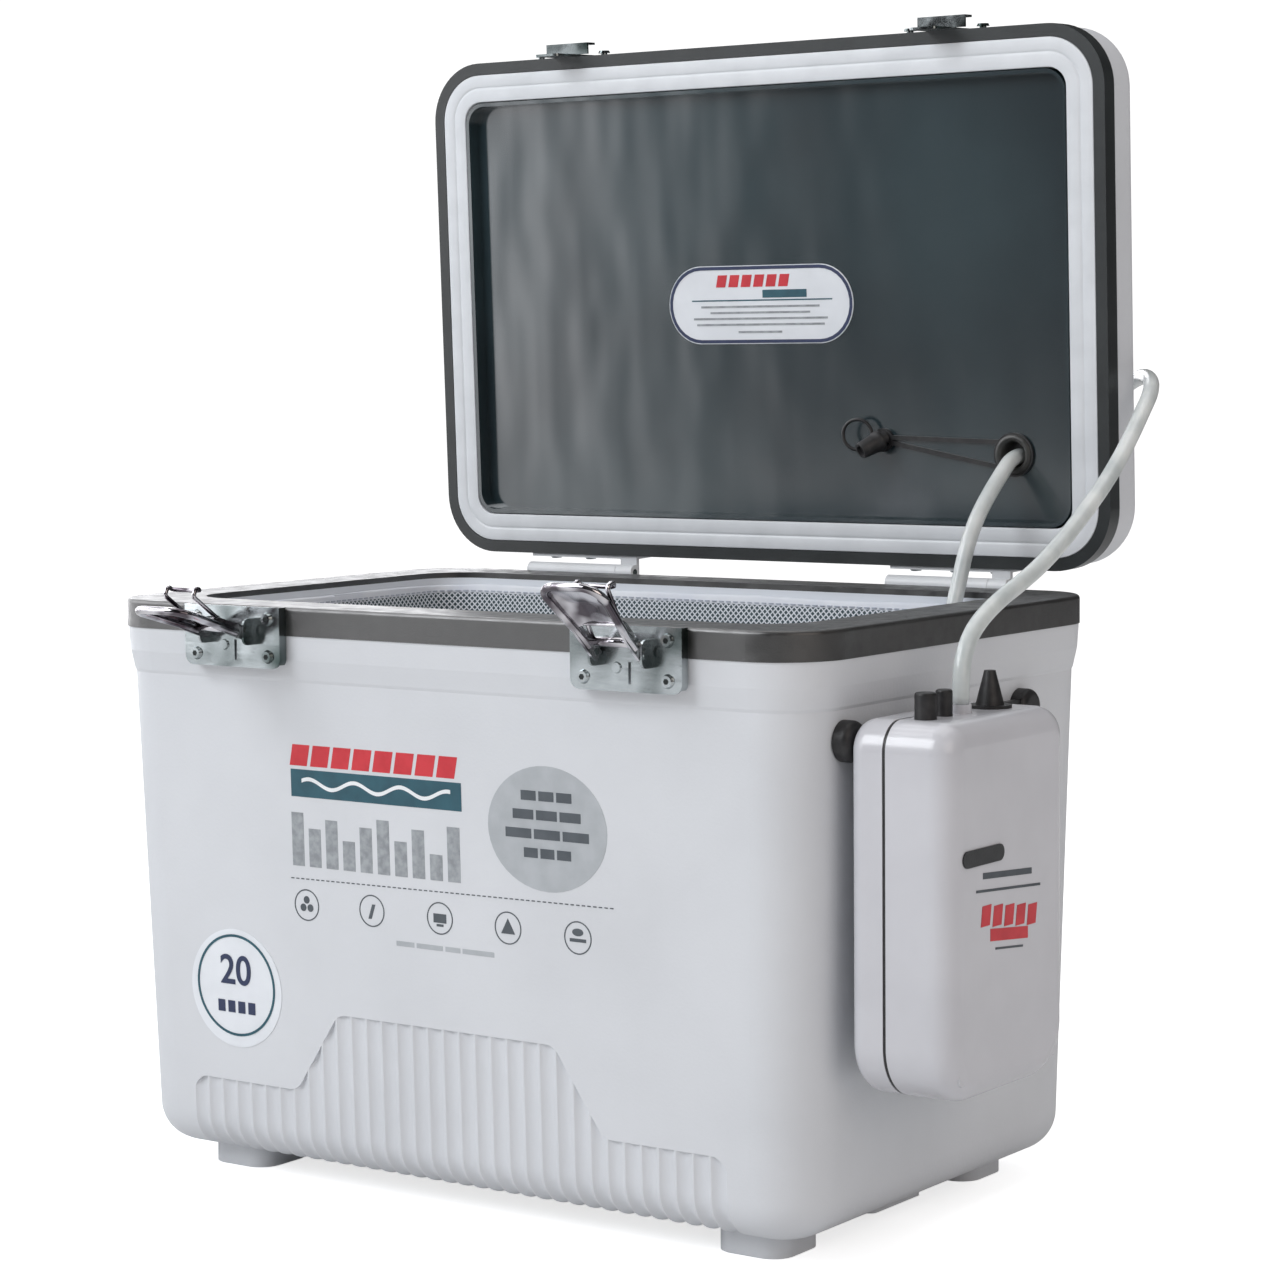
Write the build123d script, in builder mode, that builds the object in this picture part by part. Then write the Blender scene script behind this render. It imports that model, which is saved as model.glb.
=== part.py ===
from build123d import *
from math import atan, cos, degrees, pi, radians, sin, tan
import os

# An insulated live-bait box with a clip-on air pump, in millimetres. +Z is up, -Y is
# the front with the two latches, +X is the side that carries the pump, and the origin
# is on the floor under the middle of the tub. The lid stands open, as it is stored
# with the hose run through its port. The lid's pieces are drawn closed and then
# turned about the hinge pin to their place at rest.

os.makedirs("parts", exist_ok=True)

# Driving dimensions of the tub
TUB_WIDTH = 425.0
TUB_DEPTH = 275.0
RIM_Z = 292.0
CORNER_R = 32.0
FOOT_H = 12.0
BASE_INSET = 10.0
STEP_Z = 255.0
STEP_INSET = 4.0
BAND_INSET = 0.5
BASE_FILLET = 20.0
SHELL_WALL = 3.2
FOAM_GAP = 0.2

TRIM_H = 14.0
TRIM_WALL = 3.0
RIM_LAND = 30.0
MOUTH_WIDTH = TUB_WIDTH - 2 * RIM_LAND
MOUTH_DEPTH = TUB_DEPTH - 2 * RIM_LAND
MOUTH_R = 26.0
LINER_WALL = 2.5
LEDGE = 3.0
LEDGE_Z = 270.0
FLOOR_Z = 45.0
LINER_TAPER = 5.0
LINER_FLOOR_R = 12.0

FOOT_W = 38.0
FOOT_D = 38.0
FOOT_R = 11.0
FOOT_X = TUB_WIDTH / 2 - 55.5
FOOT_Y = TUB_DEPTH / 2 - 51.5
PAD_W = 22.0
PAD_D = 46.0
PAD_H = 8.0
PAD_X = TUB_WIDTH / 2 - 48.5

# Fluted panel low on the front
FLUTE_PITCH = 9.6
FLUTE_R = 6.0
FLUTE_DEPTH = 1.9
PANEL_HALF = TUB_WIDTH / 2 - 49.5
FLUTE_COUNT = round(2 * PANEL_HALF / FLUTE_PITCH)
PANEL_LOW_Z = 51.0
PANEL_HIGH_Z = 92.0
PANEL_HIGH_HALF = 66.0
PANEL_SHOULDER = 28.0
PANEL_BEND = 9.0

# Lid, drawn closed
LID_GAP = 0.3
LID_TRIM_H = 10.3
GASKET_INSET = 6.4
GASKET_WIDTH = 15.4
GASKET_H = 4.0
GASKET_FIT = 0.2
GROOVE_W = 1.6
GROOVE_DEPTH = 1.2
PANEL_INSET = 22.2
PANEL_WALL = 2.0
PANEL_RECESS = 8.0
COVER_H = 26.0
COVER_INSET = 1.2
COVER_WALL = 2.8
COVER_R = 9.0
CROWN_H = 2.5
CROWN_MARGIN = 35.0
CROWN_R = 30.0
CROWN_EDGE_R = 1.8
LABEL_W = 118.0
LABEL_D = 42.0
LABEL_T = 0.4
PORT_X = 154.0
PORT_Y = 79.0
PORT_BORE_R = 7.0
PORT_TUBE_R = 8.6
PORT_FLANGE_R = 10.7
PORT_FLANGE_T = 2.0
PORT_FLANGE_LIP = 1.5

PLUG_X = 76.0
PLUG_Y = 72.0
PLUG_R = 6.3
PLUG_H = 10.0
PLUG_TAPER = 4.0
PLUG_NECK_R = 4.0
PLUG_RING_R = 7.0
PLUG_RING_WIRE = 1.3
STRAP_T = 1.6
STRAP_RING_W = 2.0
STRAP_BAND_W = 2.4
STRAP_SPREAD = 6.5
STRAP_PINCH = 1.3

# Hinges
LID_OPEN = 88.0
HINGE_OFFSET = 9.0
HINGE_X = TUB_WIDTH / 2 - 94.5
HINGE_LENGTH = 72.0
HINGE_END = 10.8
KNUCKLE_R = 4.2
KNUCKLE_GAP = 0.2
HINGE_PIN_R = 2.0
HINGE_PIN_FIT = 0.06
LEAF_T = 1.8
LEAF_H = 18.0
LEAF_ARM_T = 2.5
LEAF_ARM_LIFT = 1.7
LEAF_SCREW_R = 1.8
LEAF_SCREW_HEAD_R = 3.4
LEAF_SCREW_HEAD_H = 1.3
LEAF_SCREW_X = 24.0
LEAF_SCREW_IN = 6.5
LEAF_SCREW_L = 6.3
SCREW_FIT = 0.08
SCREW_HEAD_TAPER = 25.0

# Latches, drawn locked
LATCH_X = TUB_WIDTH / 2 - 93.5
PLATE_W = 62.0
PLATE_H = 30.0
PLATE_T = 1.2
PLATE_STAND = 5.0
PLATE_R = 5.0
PLATE_SLOT_W = 1.6
PLATE_SLOT_H = 10.0
PLATE_SLOT_X = 2.5
PLATE_SLOT_Z = -6.5
LATCH_SCREW_X = 23.4
LATCH_SCREW_Z = 9.2
LATCH_SCREW_R = 2.0
LATCH_SCREW_HEAD_R = 3.4
LATCH_SCREW_HEAD_H = 1.6
LATCH_SCREW_L = 11.3
RIVET_R = 1.9
RIVET_X = -4.7
RIVET_Z = -4.2
PIVOT_Z_DOWN = 12.0
PIVOT_STAND = 4.8
PIVOT_R = 1.6
PIVOT_FIT = 0.06
PIVOT_HEAD_R = 2.8
PIVOT_HEAD_T = 0.8
EAR_H = 13.0
EAR_REACH = 8.0
LEVER_ROOT_W = 27.0
LEVER_TIP_W = 36.0
LEVER_LENGTH = 52.0
LEVER_TIP_R = 9.0
LEVER_OUTER = 2.4
LEVER_INNER = 4.0
LEVER_WALL = 1.5
LEVER_WEB = 1.2
LEVER_WEB_START = 20.0
LEVER_ROOT_R = 3.5
LEVER_GAP = 0.3
CLAW_ARM = 8.0
CLAW_W = 21.0
CLAW_T = 1.5
CLAW_PIN_R = 1.3
CLAW_PIN_FIT = 0.06
CLAW_BARREL_R = 2.4
CLAW_HOOK = 6.2
CLAW_RETURN = 4.5
CLAW_LEAN = 17.0
LEVER_RIGHT_SWING = 132.0
LEVER_LEFT_SWING = 107.5

LEVER_ROOT_BACK = 3.0
LEVER_FLARE_START = 12.0
LEVER_FLARE_END = 40.0
EAR_R = 3.5
RIVET_TAIL = 1.0
RIVET_HEAD_R = 2.7
RIVET_HEAD_H = 0.9

# Keepers on the lid, drawn closed
KEEPER_W = 56.0
KEEPER_H = 16.0
KEEPER_T = 1.2
KEEPER_LIP_W = 28.0
KEEPER_LIP_REACH = 6.2
KEEPER_LIP_H = 7.2
KEEPER_SCREW_X = 21.5
KEEPER_UP = 1.5
KEEPER_SCREW_R = 1.8
KEEPER_SCREW_UP = 5.2
KEEPER_SCREW_L = 5.7
HOOK_GAP = 0.3

# Net bag
HEM_H = 16.0
HEM_W = 4.2
HEM_GAP = 0.3
NET_WALL = 1.2
NET_FLOOR_Z = 60.0
NET_TAPER = 12.0
NET_FLOOR_R = 14.0

# Pump, hung on the right wall
PUMP_Y = -58.5
PUMP_W = 107.0
PUMP_BOTTOM_Z = 82.0
PUMP_TOP_Z = 252.0
PUMP_BACK_X = TUB_WIDTH / 2 + 4.5
PUMP_SEAM_X = TUB_WIDTH / 2 + 23.5
PUMP_SEAM_T = 1.6
PUMP_FRONT_X = TUB_WIDTH / 2 + 57.5
PUMP_TOP_R = 14.0
PUMP_BOTTOM_R = 25.0
PUMP_WALL = 2.2
PUMP_BACK_R = 8.0
PUMP_FRONT_R = 11.0
BOSS_R = 4.0
BOSS_INSET = 13.0
PUMP_SCREW_R = 1.5
PUMP_SCREW_HEAD_R = 3.0
PUMP_SCREW_HEAD_T = 1.4
PUMP_SCREW_BITE = 12.0
TOP_ROW_X = TUB_WIDTH / 2 + 33.5
OUTLET_Y = -62.0
SWITCH_Y = -35.5
JACK_Y = -92.5
FILTER_Y = -76.5
JACK_R = 5.0
FILTER_R = 3.8
CAP_H = 12.0
CAP_EDGE_R = 1.2
PLUG_STEM_R = 2.6
HANGER_Z = 241.0
HANGER_H = 10.0
HANGER_T = 3.0
HANGER_FRONT_Y = -101.0
HANGER_REAR_Y = 59.0
KNOB_R = 9.5
KNOB_T = 8.0
KNOB_ROUND = 3.5
WALL_GAP = 0.25
CLIP_W = 24.0
CLIP_T = 1.2
CLIP_DROP = 22.0
CLIP_PLATE_H = 38.0
CLIP_GAP = 0.3
CLIP_BAR_GAP = 1.9
BACK_R_INSIDE = 3.0
FRONT_R_INSIDE = 6.0
SEAL_INSET = 0.4
SEAL_W = 1.6
CELL_R = 16.4
CELL_L = 61.0
CELL_NUB_R = 4.5
CELL_NUB_H = 1.5
CELL_GAP = 0.6
CONTACT_T = 0.8
CONTACT_SPRING_R = 6.0
CONTACT_SPRING_H = 5.0
CONTACT_LIP = 2.0
BULKHEAD_T = 2.0
MOTOR_R = 12.0
MOTOR_L = 27.0
MOTOR_Z = 176.0
MOTOR_FIT = 0.3
CRADLE_L = 16.0
CRADLE_H = 30.0
SHAFT_R = 1.0
CAM_R = 6.0
CAM_T = 4.0
CAM_THROW = 1.5
CAM_PIN_R = 1.5
CAM_PIN_L = 6.0
ROD_T = 4.0
ROD_W = 6.0
ROD_EYE_R = 5.5
ROD_CLEAR = 0.25
DIAPHRAGM_R = 12.0
DIAPHRAGM_H = 8.0
SHAFT_NECK = 3.0
BLOCK_DROP = 19.0
BLOCK_W = 30.0
BLOCK_H = 18.0
NIPPLE_R = 3.0
NIPPLE_COLLAR_R = 5.0
NIPPLE_COLLAR_H = 4.0
SWITCH_BODY_X = 12.0
SWITCH_BODY_Y = 20.0
SWITCH_BODY_H = 16.0
BUSH_R = 4.0
BUSH_H = 2.5
TOGGLE_R = 1.5
TOGGLE_H = 10.0
TOGGLE_SINK = 0.6
TOGGLE_BALL_R = 3.1
TOGGLE_SWING = 12.0
BOOT_R = 6.9
BOOT_H = 17.0
BOOT_TIP_R = 2.6
BOOT_WALL = 0.8
BOOT_FLANGE_R = 10.0
BOOT_FLANGE_T = 1.4
PASS_GAP = 0.2
BADGE_W = 36.0
BADGE_H = 7.5
BADGE_T = 0.8
BADGE_Y = -84.0
BADGE_Z = 192.0

# Round capacity sticker on the front
STICKER_R = 30.0
STICKER_T = 0.35
STICKER_X = -TUB_WIDTH / 2 + 80.5
STICKER_Z = 98.5

# Air hose and air stone
HOSE_R = 4.0
STONE_R = 7.5
STONE_L = 36.0
STONE_NECK_R = 3.0
STONE_NECK_L = 6.0

# Sizes that follow from the ones above
TRIM_BOTTOM = RIM_Z - TRIM_H
TRIM_TOP_UNDER = RIM_Z - TRIM_WALL
LID_Z = RIM_Z + LID_GAP
LID_TRIM_TOP = LID_Z + LID_TRIM_H
COVER_TOP = LID_TRIM_TOP + COVER_H
CROWN_TOP = COVER_TOP + CROWN_H
PANEL_FACE = LID_Z + PANEL_RECESS
FRONT_Y = -TUB_DEPTH / 2
BACK_Y = TUB_DEPTH / 2
HINGE_Y = BACK_Y + HINGE_OFFSET
HINGE_AXIS = Axis((0, HINGE_Y, RIM_Z), (1, 0, 0))
PLATE_Z = RIM_Z - PLATE_H / 2
PLATE_FACE_Y = FRONT_Y - PLATE_STAND
PIVOT_Y = PLATE_FACE_Y - PIVOT_STAND
PIVOT_Z = RIM_Z - PIVOT_Z_DOWN
CLAW_PIVOT_Z = PIVOT_Z - CLAW_ARM
KEEPER_Z = LID_Z + KEEPER_UP
KEEPER_FACE_Y = FRONT_Y - KEEPER_T
KEEPER_SCREW_Z = KEEPER_Z + KEEPER_SCREW_UP
LEAF_FACE_Y = BACK_Y + LEAF_T
TUB_LEAF_TOP = RIM_Z - LEAF_ARM_LIFT
TUB_LEAF_SCREW_Z = TUB_LEAF_TOP - LEAF_SCREW_IN
LID_LEAF_BOTTOM = RIM_Z + LEAF_ARM_LIFT
LID_LEAF_SCREW_Z = LID_LEAF_BOTTOM + LEAF_SCREW_IN
PUMP_INNER_TOP = PUMP_TOP_Z - PUMP_WALL
PUMP_MID_X = (PUMP_BACK_X + PUMP_FRONT_X) / 2


def wall_inset(z):
    """How far the tub's wall stands inside the trim at a height below the step."""
    share = (z - FOOT_H) / (STEP_Z - FOOT_H)
    return BASE_INSET + (STEP_INSET - BASE_INSET) * share


WALL_LEAN = degrees(atan((BASE_INSET - STEP_INSET) / (STEP_Z - FOOT_H)))


def tapered_box(stations, floor_r=0.0):
    """A closed box lofted through rounded rectangles (z, inset, corner radius) of the tub's plan."""
    with BuildPart() as body:
        for z, inset, corner in stations:
            with BuildSketch(Plane.XY.offset(z)):
                RectangleRounded(TUB_WIDTH - 2 * inset, TUB_DEPTH - 2 * inset, corner)
        loft(ruled=True)
        if floor_r:
            fillet(body.faces().sort_by(Axis.Z)[0].edges(), floor_r)
    return body.part


def ring(z, height, outer_inset, inner_inset, corner):
    """A flat ring of the tub's plan between two insets."""
    with BuildPart() as body:
        with BuildSketch(Plane.XY.offset(z)):
            RectangleRounded(TUB_WIDTH - 2 * outer_inset, TUB_DEPTH - 2 * outer_inset, corner - outer_inset)
            RectangleRounded(
                TUB_WIDTH - 2 * inner_inset,
                TUB_DEPTH - 2 * inner_inset,
                max(corner - inner_inset, 8.0),
                mode=Mode.SUBTRACT,
            )
        extrude(amount=height)
    return body.part


def mouth_box(z, height, grow, corner):
    """A straight box of the tub mouth's plan, grown on each side."""
    with BuildPart() as body:
        with BuildSketch(Plane.XY.offset(z)):
            RectangleRounded(MOUTH_WIDTH + 2 * grow, MOUTH_DEPTH + 2 * grow, corner)
        extrude(amount=height)
    return body.part


def basin(bottom_z, top_z, shrink, taper, corner, floor_r):
    """A basin's filled shape: the ledge's plan less shrink at the top, less the taper at the floor."""
    with BuildPart() as body:
        for z, inset in ((bottom_z, shrink + taper), (top_z, shrink)):
            with BuildSketch(Plane.XY.offset(z)):
                RectangleRounded(
                    MOUTH_WIDTH - 2 * LEDGE - 2 * inset,
                    MOUTH_DEPTH - 2 * LEDGE - 2 * inset,
                    corner,
                )
        loft(ruled=True)
        fillet(body.faces().sort_by(Axis.Z)[0].edges(), floor_r)
    return body.part


def write(part, name):
    """Label a finished piece and write it as one STEP file."""
    part.label = name
    export_step(part, f"parts/{name}.step")


def opened(part):
    """A piece of the lid, turned from closed to its place at rest."""
    return part.rotate(HINGE_AXIS, -LID_OPEN)


# ---- Where the latch, hinge and keeper screws stand ----

LATCH_FRONT = Plane(origin=(0, PLATE_FACE_Y, PLATE_Z), x_dir=(1, 0, 0), z_dir=(0, -1, 0))
LEAF_BACK = Plane(origin=(0, LEAF_FACE_Y, 0), x_dir=(-1, 0, 0), z_dir=(0, 1, 0))
KEEPER_FRONT = Plane(origin=(0, KEEPER_FACE_Y, 0), x_dir=(1, 0, 0), z_dir=(0, -1, 0))
LATCH_SCREW_SPOTS = [
    (side * LATCH_X + dx * LATCH_SCREW_X, dz * LATCH_SCREW_Z) for side in (-1, 1) for dx in (-1, 1) for dz in (-1, 1)
]
LEAF_SCREW_COLUMNS = [side * HINGE_X + step * LEAF_SCREW_X for side in (-1, 1) for step in (-1, 0, 1)]
TUB_LEAF_SPOTS = [(column, TUB_LEAF_SCREW_Z) for column in LEAF_SCREW_COLUMNS]
LID_LEAF_SPOTS = [(column, LID_LEAF_SCREW_Z) for column in LEAF_SCREW_COLUMNS]
KEEPER_SPOTS = [(side * LATCH_X + dx * KEEPER_SCREW_X, KEEPER_SCREW_Z) for side in (-1, 1) for dx in (-1, 1)]


def screw_holes(plane, spots, radius, depth):
    """Holes along a plane's inward side for screws that start on that plane."""
    with BuildPart() as holes:
        with BuildSketch(plane):
            with Locations(*spots):
                Circle(radius + SCREW_FIT)
        extrude(amount=-depth)
    return holes.part


def screws(plane, spots, radius, depth, head_r, head_h):
    """Pan-head screws whose heads stand on a plane and whose shanks run inward."""
    with BuildPart() as row:
        with BuildSketch(plane):
            with Locations(*spots):
                Circle(head_r)
        extrude(amount=head_h, taper=SCREW_HEAD_TAPER)
        with BuildSketch(plane):
            with Locations(*spots):
                Circle(radius)
        extrude(amount=-depth)
    return row.part


# ---- Tub: blow-moulded outer shell, foam, liner and rim trim ----

shell_outer = tapered_box(
    [
        (FOOT_H, BASE_INSET, CORNER_R - 4),
        (STEP_Z, STEP_INSET, CORNER_R - STEP_INSET),
        (STEP_Z + 1.5, STEP_INSET - 0.7, CORNER_R - STEP_INSET + 0.7),
        (STEP_Z + 11, 1.3, CORNER_R - 1.3),
        (TRIM_BOTTOM, BAND_INSET, CORNER_R - BAND_INSET),
    ],
    BASE_FILLET,
)
shell_inner = tapered_box(
    [
        (FOOT_H + SHELL_WALL, BASE_INSET + SHELL_WALL, CORNER_R - 4 - SHELL_WALL),
        (STEP_Z, STEP_INSET + SHELL_WALL, CORNER_R - STEP_INSET - SHELL_WALL),
        (TRIM_BOTTOM, STEP_INSET + SHELL_WALL, CORNER_R - STEP_INSET - SHELL_WALL),
    ],
    BASE_FILLET - SHELL_WALL,
)

latch_holes = screw_holes(LATCH_FRONT, LATCH_SCREW_SPOTS, LATCH_SCREW_R, LATCH_SCREW_L + 1)

# The flutes: round grooves that run down the front wall and round its lower edge.
flute_top_y = FRONT_Y + wall_inset(PANEL_HIGH_Z + 5)
flute_off = FLUTE_R - FLUTE_DEPTH
with BuildPart() as flutes:
    with BuildLine(Plane.YZ) as flute_path:
        FilletPolyline(
            (flute_top_y - flute_off, PANEL_HIGH_Z + 5),
            (FRONT_Y + BASE_INSET - flute_off, FOOT_H - flute_off),
            (FRONT_Y + BASE_INSET + BASE_FILLET + 8, FOOT_H - flute_off),
            radius=BASE_FILLET + flute_off,
        )
    with BuildSketch(Plane(origin=flute_path.line @ 0, z_dir=flute_path.line % 0, x_dir=(1, 0, 0))):
        with GridLocations(FLUTE_PITCH, 1, FLUTE_COUNT, 1):
            Circle(FLUTE_R)
    sweep()
with BuildPart() as panel_outline:
    with BuildSketch(Plane.XZ.offset(TUB_DEPTH / 2 + 10)) as hat:
        with BuildLine():
            Polyline(
                (-PANEL_HALF, -10),
                (-PANEL_HALF, PANEL_LOW_Z),
                (-PANEL_HIGH_HALF - PANEL_SHOULDER, PANEL_LOW_Z),
                (-PANEL_HIGH_HALF, PANEL_HIGH_Z),
                (PANEL_HIGH_HALF, PANEL_HIGH_Z),
                (PANEL_HIGH_HALF + PANEL_SHOULDER, PANEL_LOW_Z),
                (PANEL_HALF, PANEL_LOW_Z),
                (PANEL_HALF, -10),
                close=True,
            )
        make_face()
        fillet(hat.vertices().group_by(Axis.Y)[1:], PANEL_BEND)
    extrude(amount=-80)
with BuildPart() as flute_cut:
    add(flutes.part)
    add(panel_outline.part, mode=Mode.INTERSECT)

with BuildPart() as tub_shell:
    add(shell_outer)
    add(flute_cut.part, mode=Mode.SUBTRACT)
    with BuildSketch():
        with GridLocations(2 * FOOT_X, 2 * FOOT_Y, 2, 2):
            RectangleRounded(FOOT_W, FOOT_D, FOOT_R)
    extrude(amount=FOOT_H + 1)
    with BuildSketch(Plane.XY.offset(FOOT_H - PAD_H)):
        with GridLocations(2 * PAD_X, 0, 2, 1):
            RectangleRounded(PAD_W, PAD_D, 4)
    extrude(amount=PAD_H + 1)
    add(shell_inner, mode=Mode.SUBTRACT)
    add(latch_holes, mode=Mode.SUBTRACT)
write(tub_shell.part, "tub_shell")

liner_inner = basin(FLOOR_Z, LEDGE_Z, 0, LINER_TAPER, MOUTH_R - LEDGE, LINER_FLOOR_R)
liner_outer = basin(
    FLOOR_Z - LINER_WALL,
    LEDGE_Z,
    -LINER_WALL,
    LINER_TAPER,
    MOUTH_R - LEDGE + LINER_WALL,
    LINER_FLOOR_R + LINER_WALL,
)
upper_outer = mouth_box(LEDGE_Z - LINER_WALL, TRIM_TOP_UNDER - LEDGE_Z + LINER_WALL, LINER_WALL, MOUTH_R + LINER_WALL)
with BuildPart() as tub_liner:
    add(liner_outer)
    add(upper_outer)
    add(liner_inner, mode=Mode.SUBTRACT)
    add(mouth_box(LEDGE_Z, RIM_Z - LEDGE_Z, 0, MOUTH_R), mode=Mode.SUBTRACT)
write(tub_liner.part, "tub_liner")

foam_room = tapered_box(
    [
        (FOOT_H + SHELL_WALL + FOAM_GAP, BASE_INSET + SHELL_WALL + FOAM_GAP, CORNER_R - 4 - SHELL_WALL),
        (STEP_Z, STEP_INSET + SHELL_WALL + FOAM_GAP, CORNER_R - STEP_INSET - SHELL_WALL),
        (TRIM_TOP_UNDER - FOAM_GAP, STEP_INSET + SHELL_WALL + FOAM_GAP, CORNER_R - STEP_INSET - SHELL_WALL),
    ],
    BASE_FILLET - SHELL_WALL,
)
with BuildPart() as tub_foam:
    add(foam_room)
    add(
        basin(
            FLOOR_Z - LINER_WALL - FOAM_GAP,
            LEDGE_Z,
            -LINER_WALL - FOAM_GAP,
            LINER_TAPER,
            MOUTH_R - LEDGE + LINER_WALL,
            LINER_FLOOR_R + LINER_WALL,
        ),
        mode=Mode.SUBTRACT,
    )
    add(
        mouth_box(
            LEDGE_Z - LINER_WALL - FOAM_GAP,
            RIM_Z - LEDGE_Z + LINER_WALL + FOAM_GAP,
            LINER_WALL + FOAM_GAP,
            MOUTH_R + LINER_WALL,
        ),
        mode=Mode.SUBTRACT,
    )
write(tub_foam.part, "tub_foam")

with BuildPart() as tub_trim:
    with BuildSketch(Plane.XY.offset(TRIM_BOTTOM)):
        RectangleRounded(TUB_WIDTH, TUB_DEPTH, CORNER_R)
    extrude(amount=TRIM_H)
    fillet(tub_trim.faces().sort_by(Axis.Z)[-1].edges(), 2.0)
    with BuildSketch(Plane.XY.offset(TRIM_BOTTOM)):
        RectangleRounded(TUB_WIDTH - 2 * TRIM_WALL, TUB_DEPTH - 2 * TRIM_WALL, CORNER_R - TRIM_WALL)
    extrude(amount=TRIM_H - TRIM_WALL, mode=Mode.SUBTRACT)
    add(mouth_box(TRIM_BOTTOM - 1, TRIM_H + 2, 0, MOUTH_R), mode=Mode.SUBTRACT)
    add(latch_holes, mode=Mode.SUBTRACT)
    add(screw_holes(LEAF_BACK, TUB_LEAF_SPOTS, LEAF_SCREW_R, LEAF_SCREW_L + 1), mode=Mode.SUBTRACT)
write(tub_trim.part, "tub_trim")

# ---- Net bag: a stiff white hem that sits on the liner's ledge, with the net below ----

with BuildPart() as net_hem:
    add(mouth_box(LEDGE_Z, HEM_H, -HEM_GAP, MOUTH_R - HEM_GAP))
    add(mouth_box(LEDGE_Z - 1, HEM_H + 2, -HEM_GAP - HEM_W, MOUTH_R - HEM_GAP - HEM_W), mode=Mode.SUBTRACT)
write(net_hem.part, "net_hem")

net_outer = basin(NET_FLOOR_Z, LEDGE_Z, HEM_GAP, NET_TAPER, MOUTH_R - LEDGE, NET_FLOOR_R)
net_inner = basin(
    NET_FLOOR_Z + NET_WALL,
    LEDGE_Z,
    HEM_GAP + NET_WALL,
    NET_TAPER,
    MOUTH_R - LEDGE - NET_WALL,
    NET_FLOOR_R - NET_WALL,
)
with BuildPart() as net_bag:
    add(net_outer)
    add(net_inner, mode=Mode.SUBTRACT)
write(net_bag.part, "net_bag")

# ---- Round sticker on the front wall ----

sticker_normal = (0, -cos(radians(WALL_LEAN)), -sin(radians(WALL_LEAN)))
sticker_origin = (STICKER_X, FRONT_Y + wall_inset(STICKER_Z), STICKER_Z)
with BuildPart() as front_sticker:
    with BuildSketch(Plane(origin=sticker_origin, x_dir=(1, 0, 0), z_dir=sticker_normal)):
        Circle(STICKER_R)
    extrude(amount=STICKER_T)
write(front_sticker.part, "front_sticker")

# ---- Lid: cover, foam, inner panel, trim, gasket and port, drawn closed ----

with BuildPart() as lid_trim:
    add(ring(LID_Z, LID_TRIM_H, 0, GASKET_INSET, CORNER_R))
    add(ring(LID_Z + GASKET_H, LID_TRIM_H - GASKET_H, GASKET_INSET - 1, PANEL_INSET - GASKET_FIT, CORNER_R))
    add(screw_holes(LEAF_BACK, LID_LEAF_SPOTS, LEAF_SCREW_R, LEAF_SCREW_L + 0.3), mode=Mode.SUBTRACT)
    add(screw_holes(KEEPER_FRONT, KEEPER_SPOTS, KEEPER_SCREW_R, KEEPER_SCREW_L + 0.3), mode=Mode.SUBTRACT)
write(opened(lid_trim.part), "lid_trim")

with BuildPart() as lid_gasket:
    add(ring(LID_Z, GASKET_H - GASKET_FIT / 2, GASKET_INSET + GASKET_FIT, GASKET_INSET + GASKET_WIDTH, CORNER_R))
    for groove_inset in (GASKET_INSET + 4.2, GASKET_INSET + 9.8):
        add(ring(LID_Z, GROOVE_DEPTH, groove_inset, groove_inset + GROOVE_W, CORNER_R), mode=Mode.SUBTRACT)
write(opened(lid_gasket.part), "lid_gasket")

with BuildPart() as lid_panel:
    with BuildSketch(Plane.XY.offset(LID_Z)):
        RectangleRounded(TUB_WIDTH - 2 * PANEL_INSET, TUB_DEPTH - 2 * PANEL_INSET, 12)
    extrude(amount=LID_TRIM_H - GASKET_FIT)
    with BuildSketch(Plane.XY.offset(LID_Z)):
        RectangleRounded(
            TUB_WIDTH - 2 * PANEL_INSET - 2 * PANEL_WALL,
            TUB_DEPTH - 2 * PANEL_INSET - 2 * PANEL_WALL,
            10,
        )
    extrude(amount=PANEL_RECESS, mode=Mode.SUBTRACT)
    with Locations((PORT_X, PORT_Y, LID_Z)):
        Cylinder(PORT_TUBE_R + PASS_GAP, 30, mode=Mode.SUBTRACT)
write(opened(lid_panel.part), "lid_panel")

with BuildPart() as cover_cavity:
    with BuildSketch(Plane.XY.offset(LID_TRIM_TOP)):
        RectangleRounded(
            TUB_WIDTH - 2 * COVER_INSET - 2 * COVER_WALL,
            TUB_DEPTH - 2 * COVER_INSET - 2 * COVER_WALL,
            CORNER_R - COVER_INSET - COVER_WALL,
        )
    extrude(amount=COVER_H - COVER_WALL)
    fillet(cover_cavity.faces().sort_by(Axis.Z)[-1].edges(), COVER_R - COVER_WALL)

with BuildPart() as lid_cover:
    with BuildSketch(Plane.XY.offset(LID_TRIM_TOP)):
        RectangleRounded(TUB_WIDTH - 2 * COVER_INSET, TUB_DEPTH - 2 * COVER_INSET, CORNER_R - COVER_INSET)
    extrude(amount=COVER_H)
    fillet(lid_cover.faces().sort_by(Axis.Z)[-1].edges(), COVER_R)
    with BuildSketch(Plane.XY.offset(COVER_TOP - 1)):
        RectangleRounded(TUB_WIDTH - 2 * CROWN_MARGIN, TUB_DEPTH - 2 * CROWN_MARGIN, CROWN_R)
    extrude(amount=CROWN_H + 1)
    fillet(lid_cover.faces().sort_by(Axis.Z)[-1].edges(), CROWN_EDGE_R)
    add(cover_cavity.part, mode=Mode.SUBTRACT)
    with Locations((PORT_X, PORT_Y, COVER_TOP)):
        Cylinder(PORT_TUBE_R + PASS_GAP, 2 * COVER_H, mode=Mode.SUBTRACT)
write(opened(lid_cover.part), "lid_cover")

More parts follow.
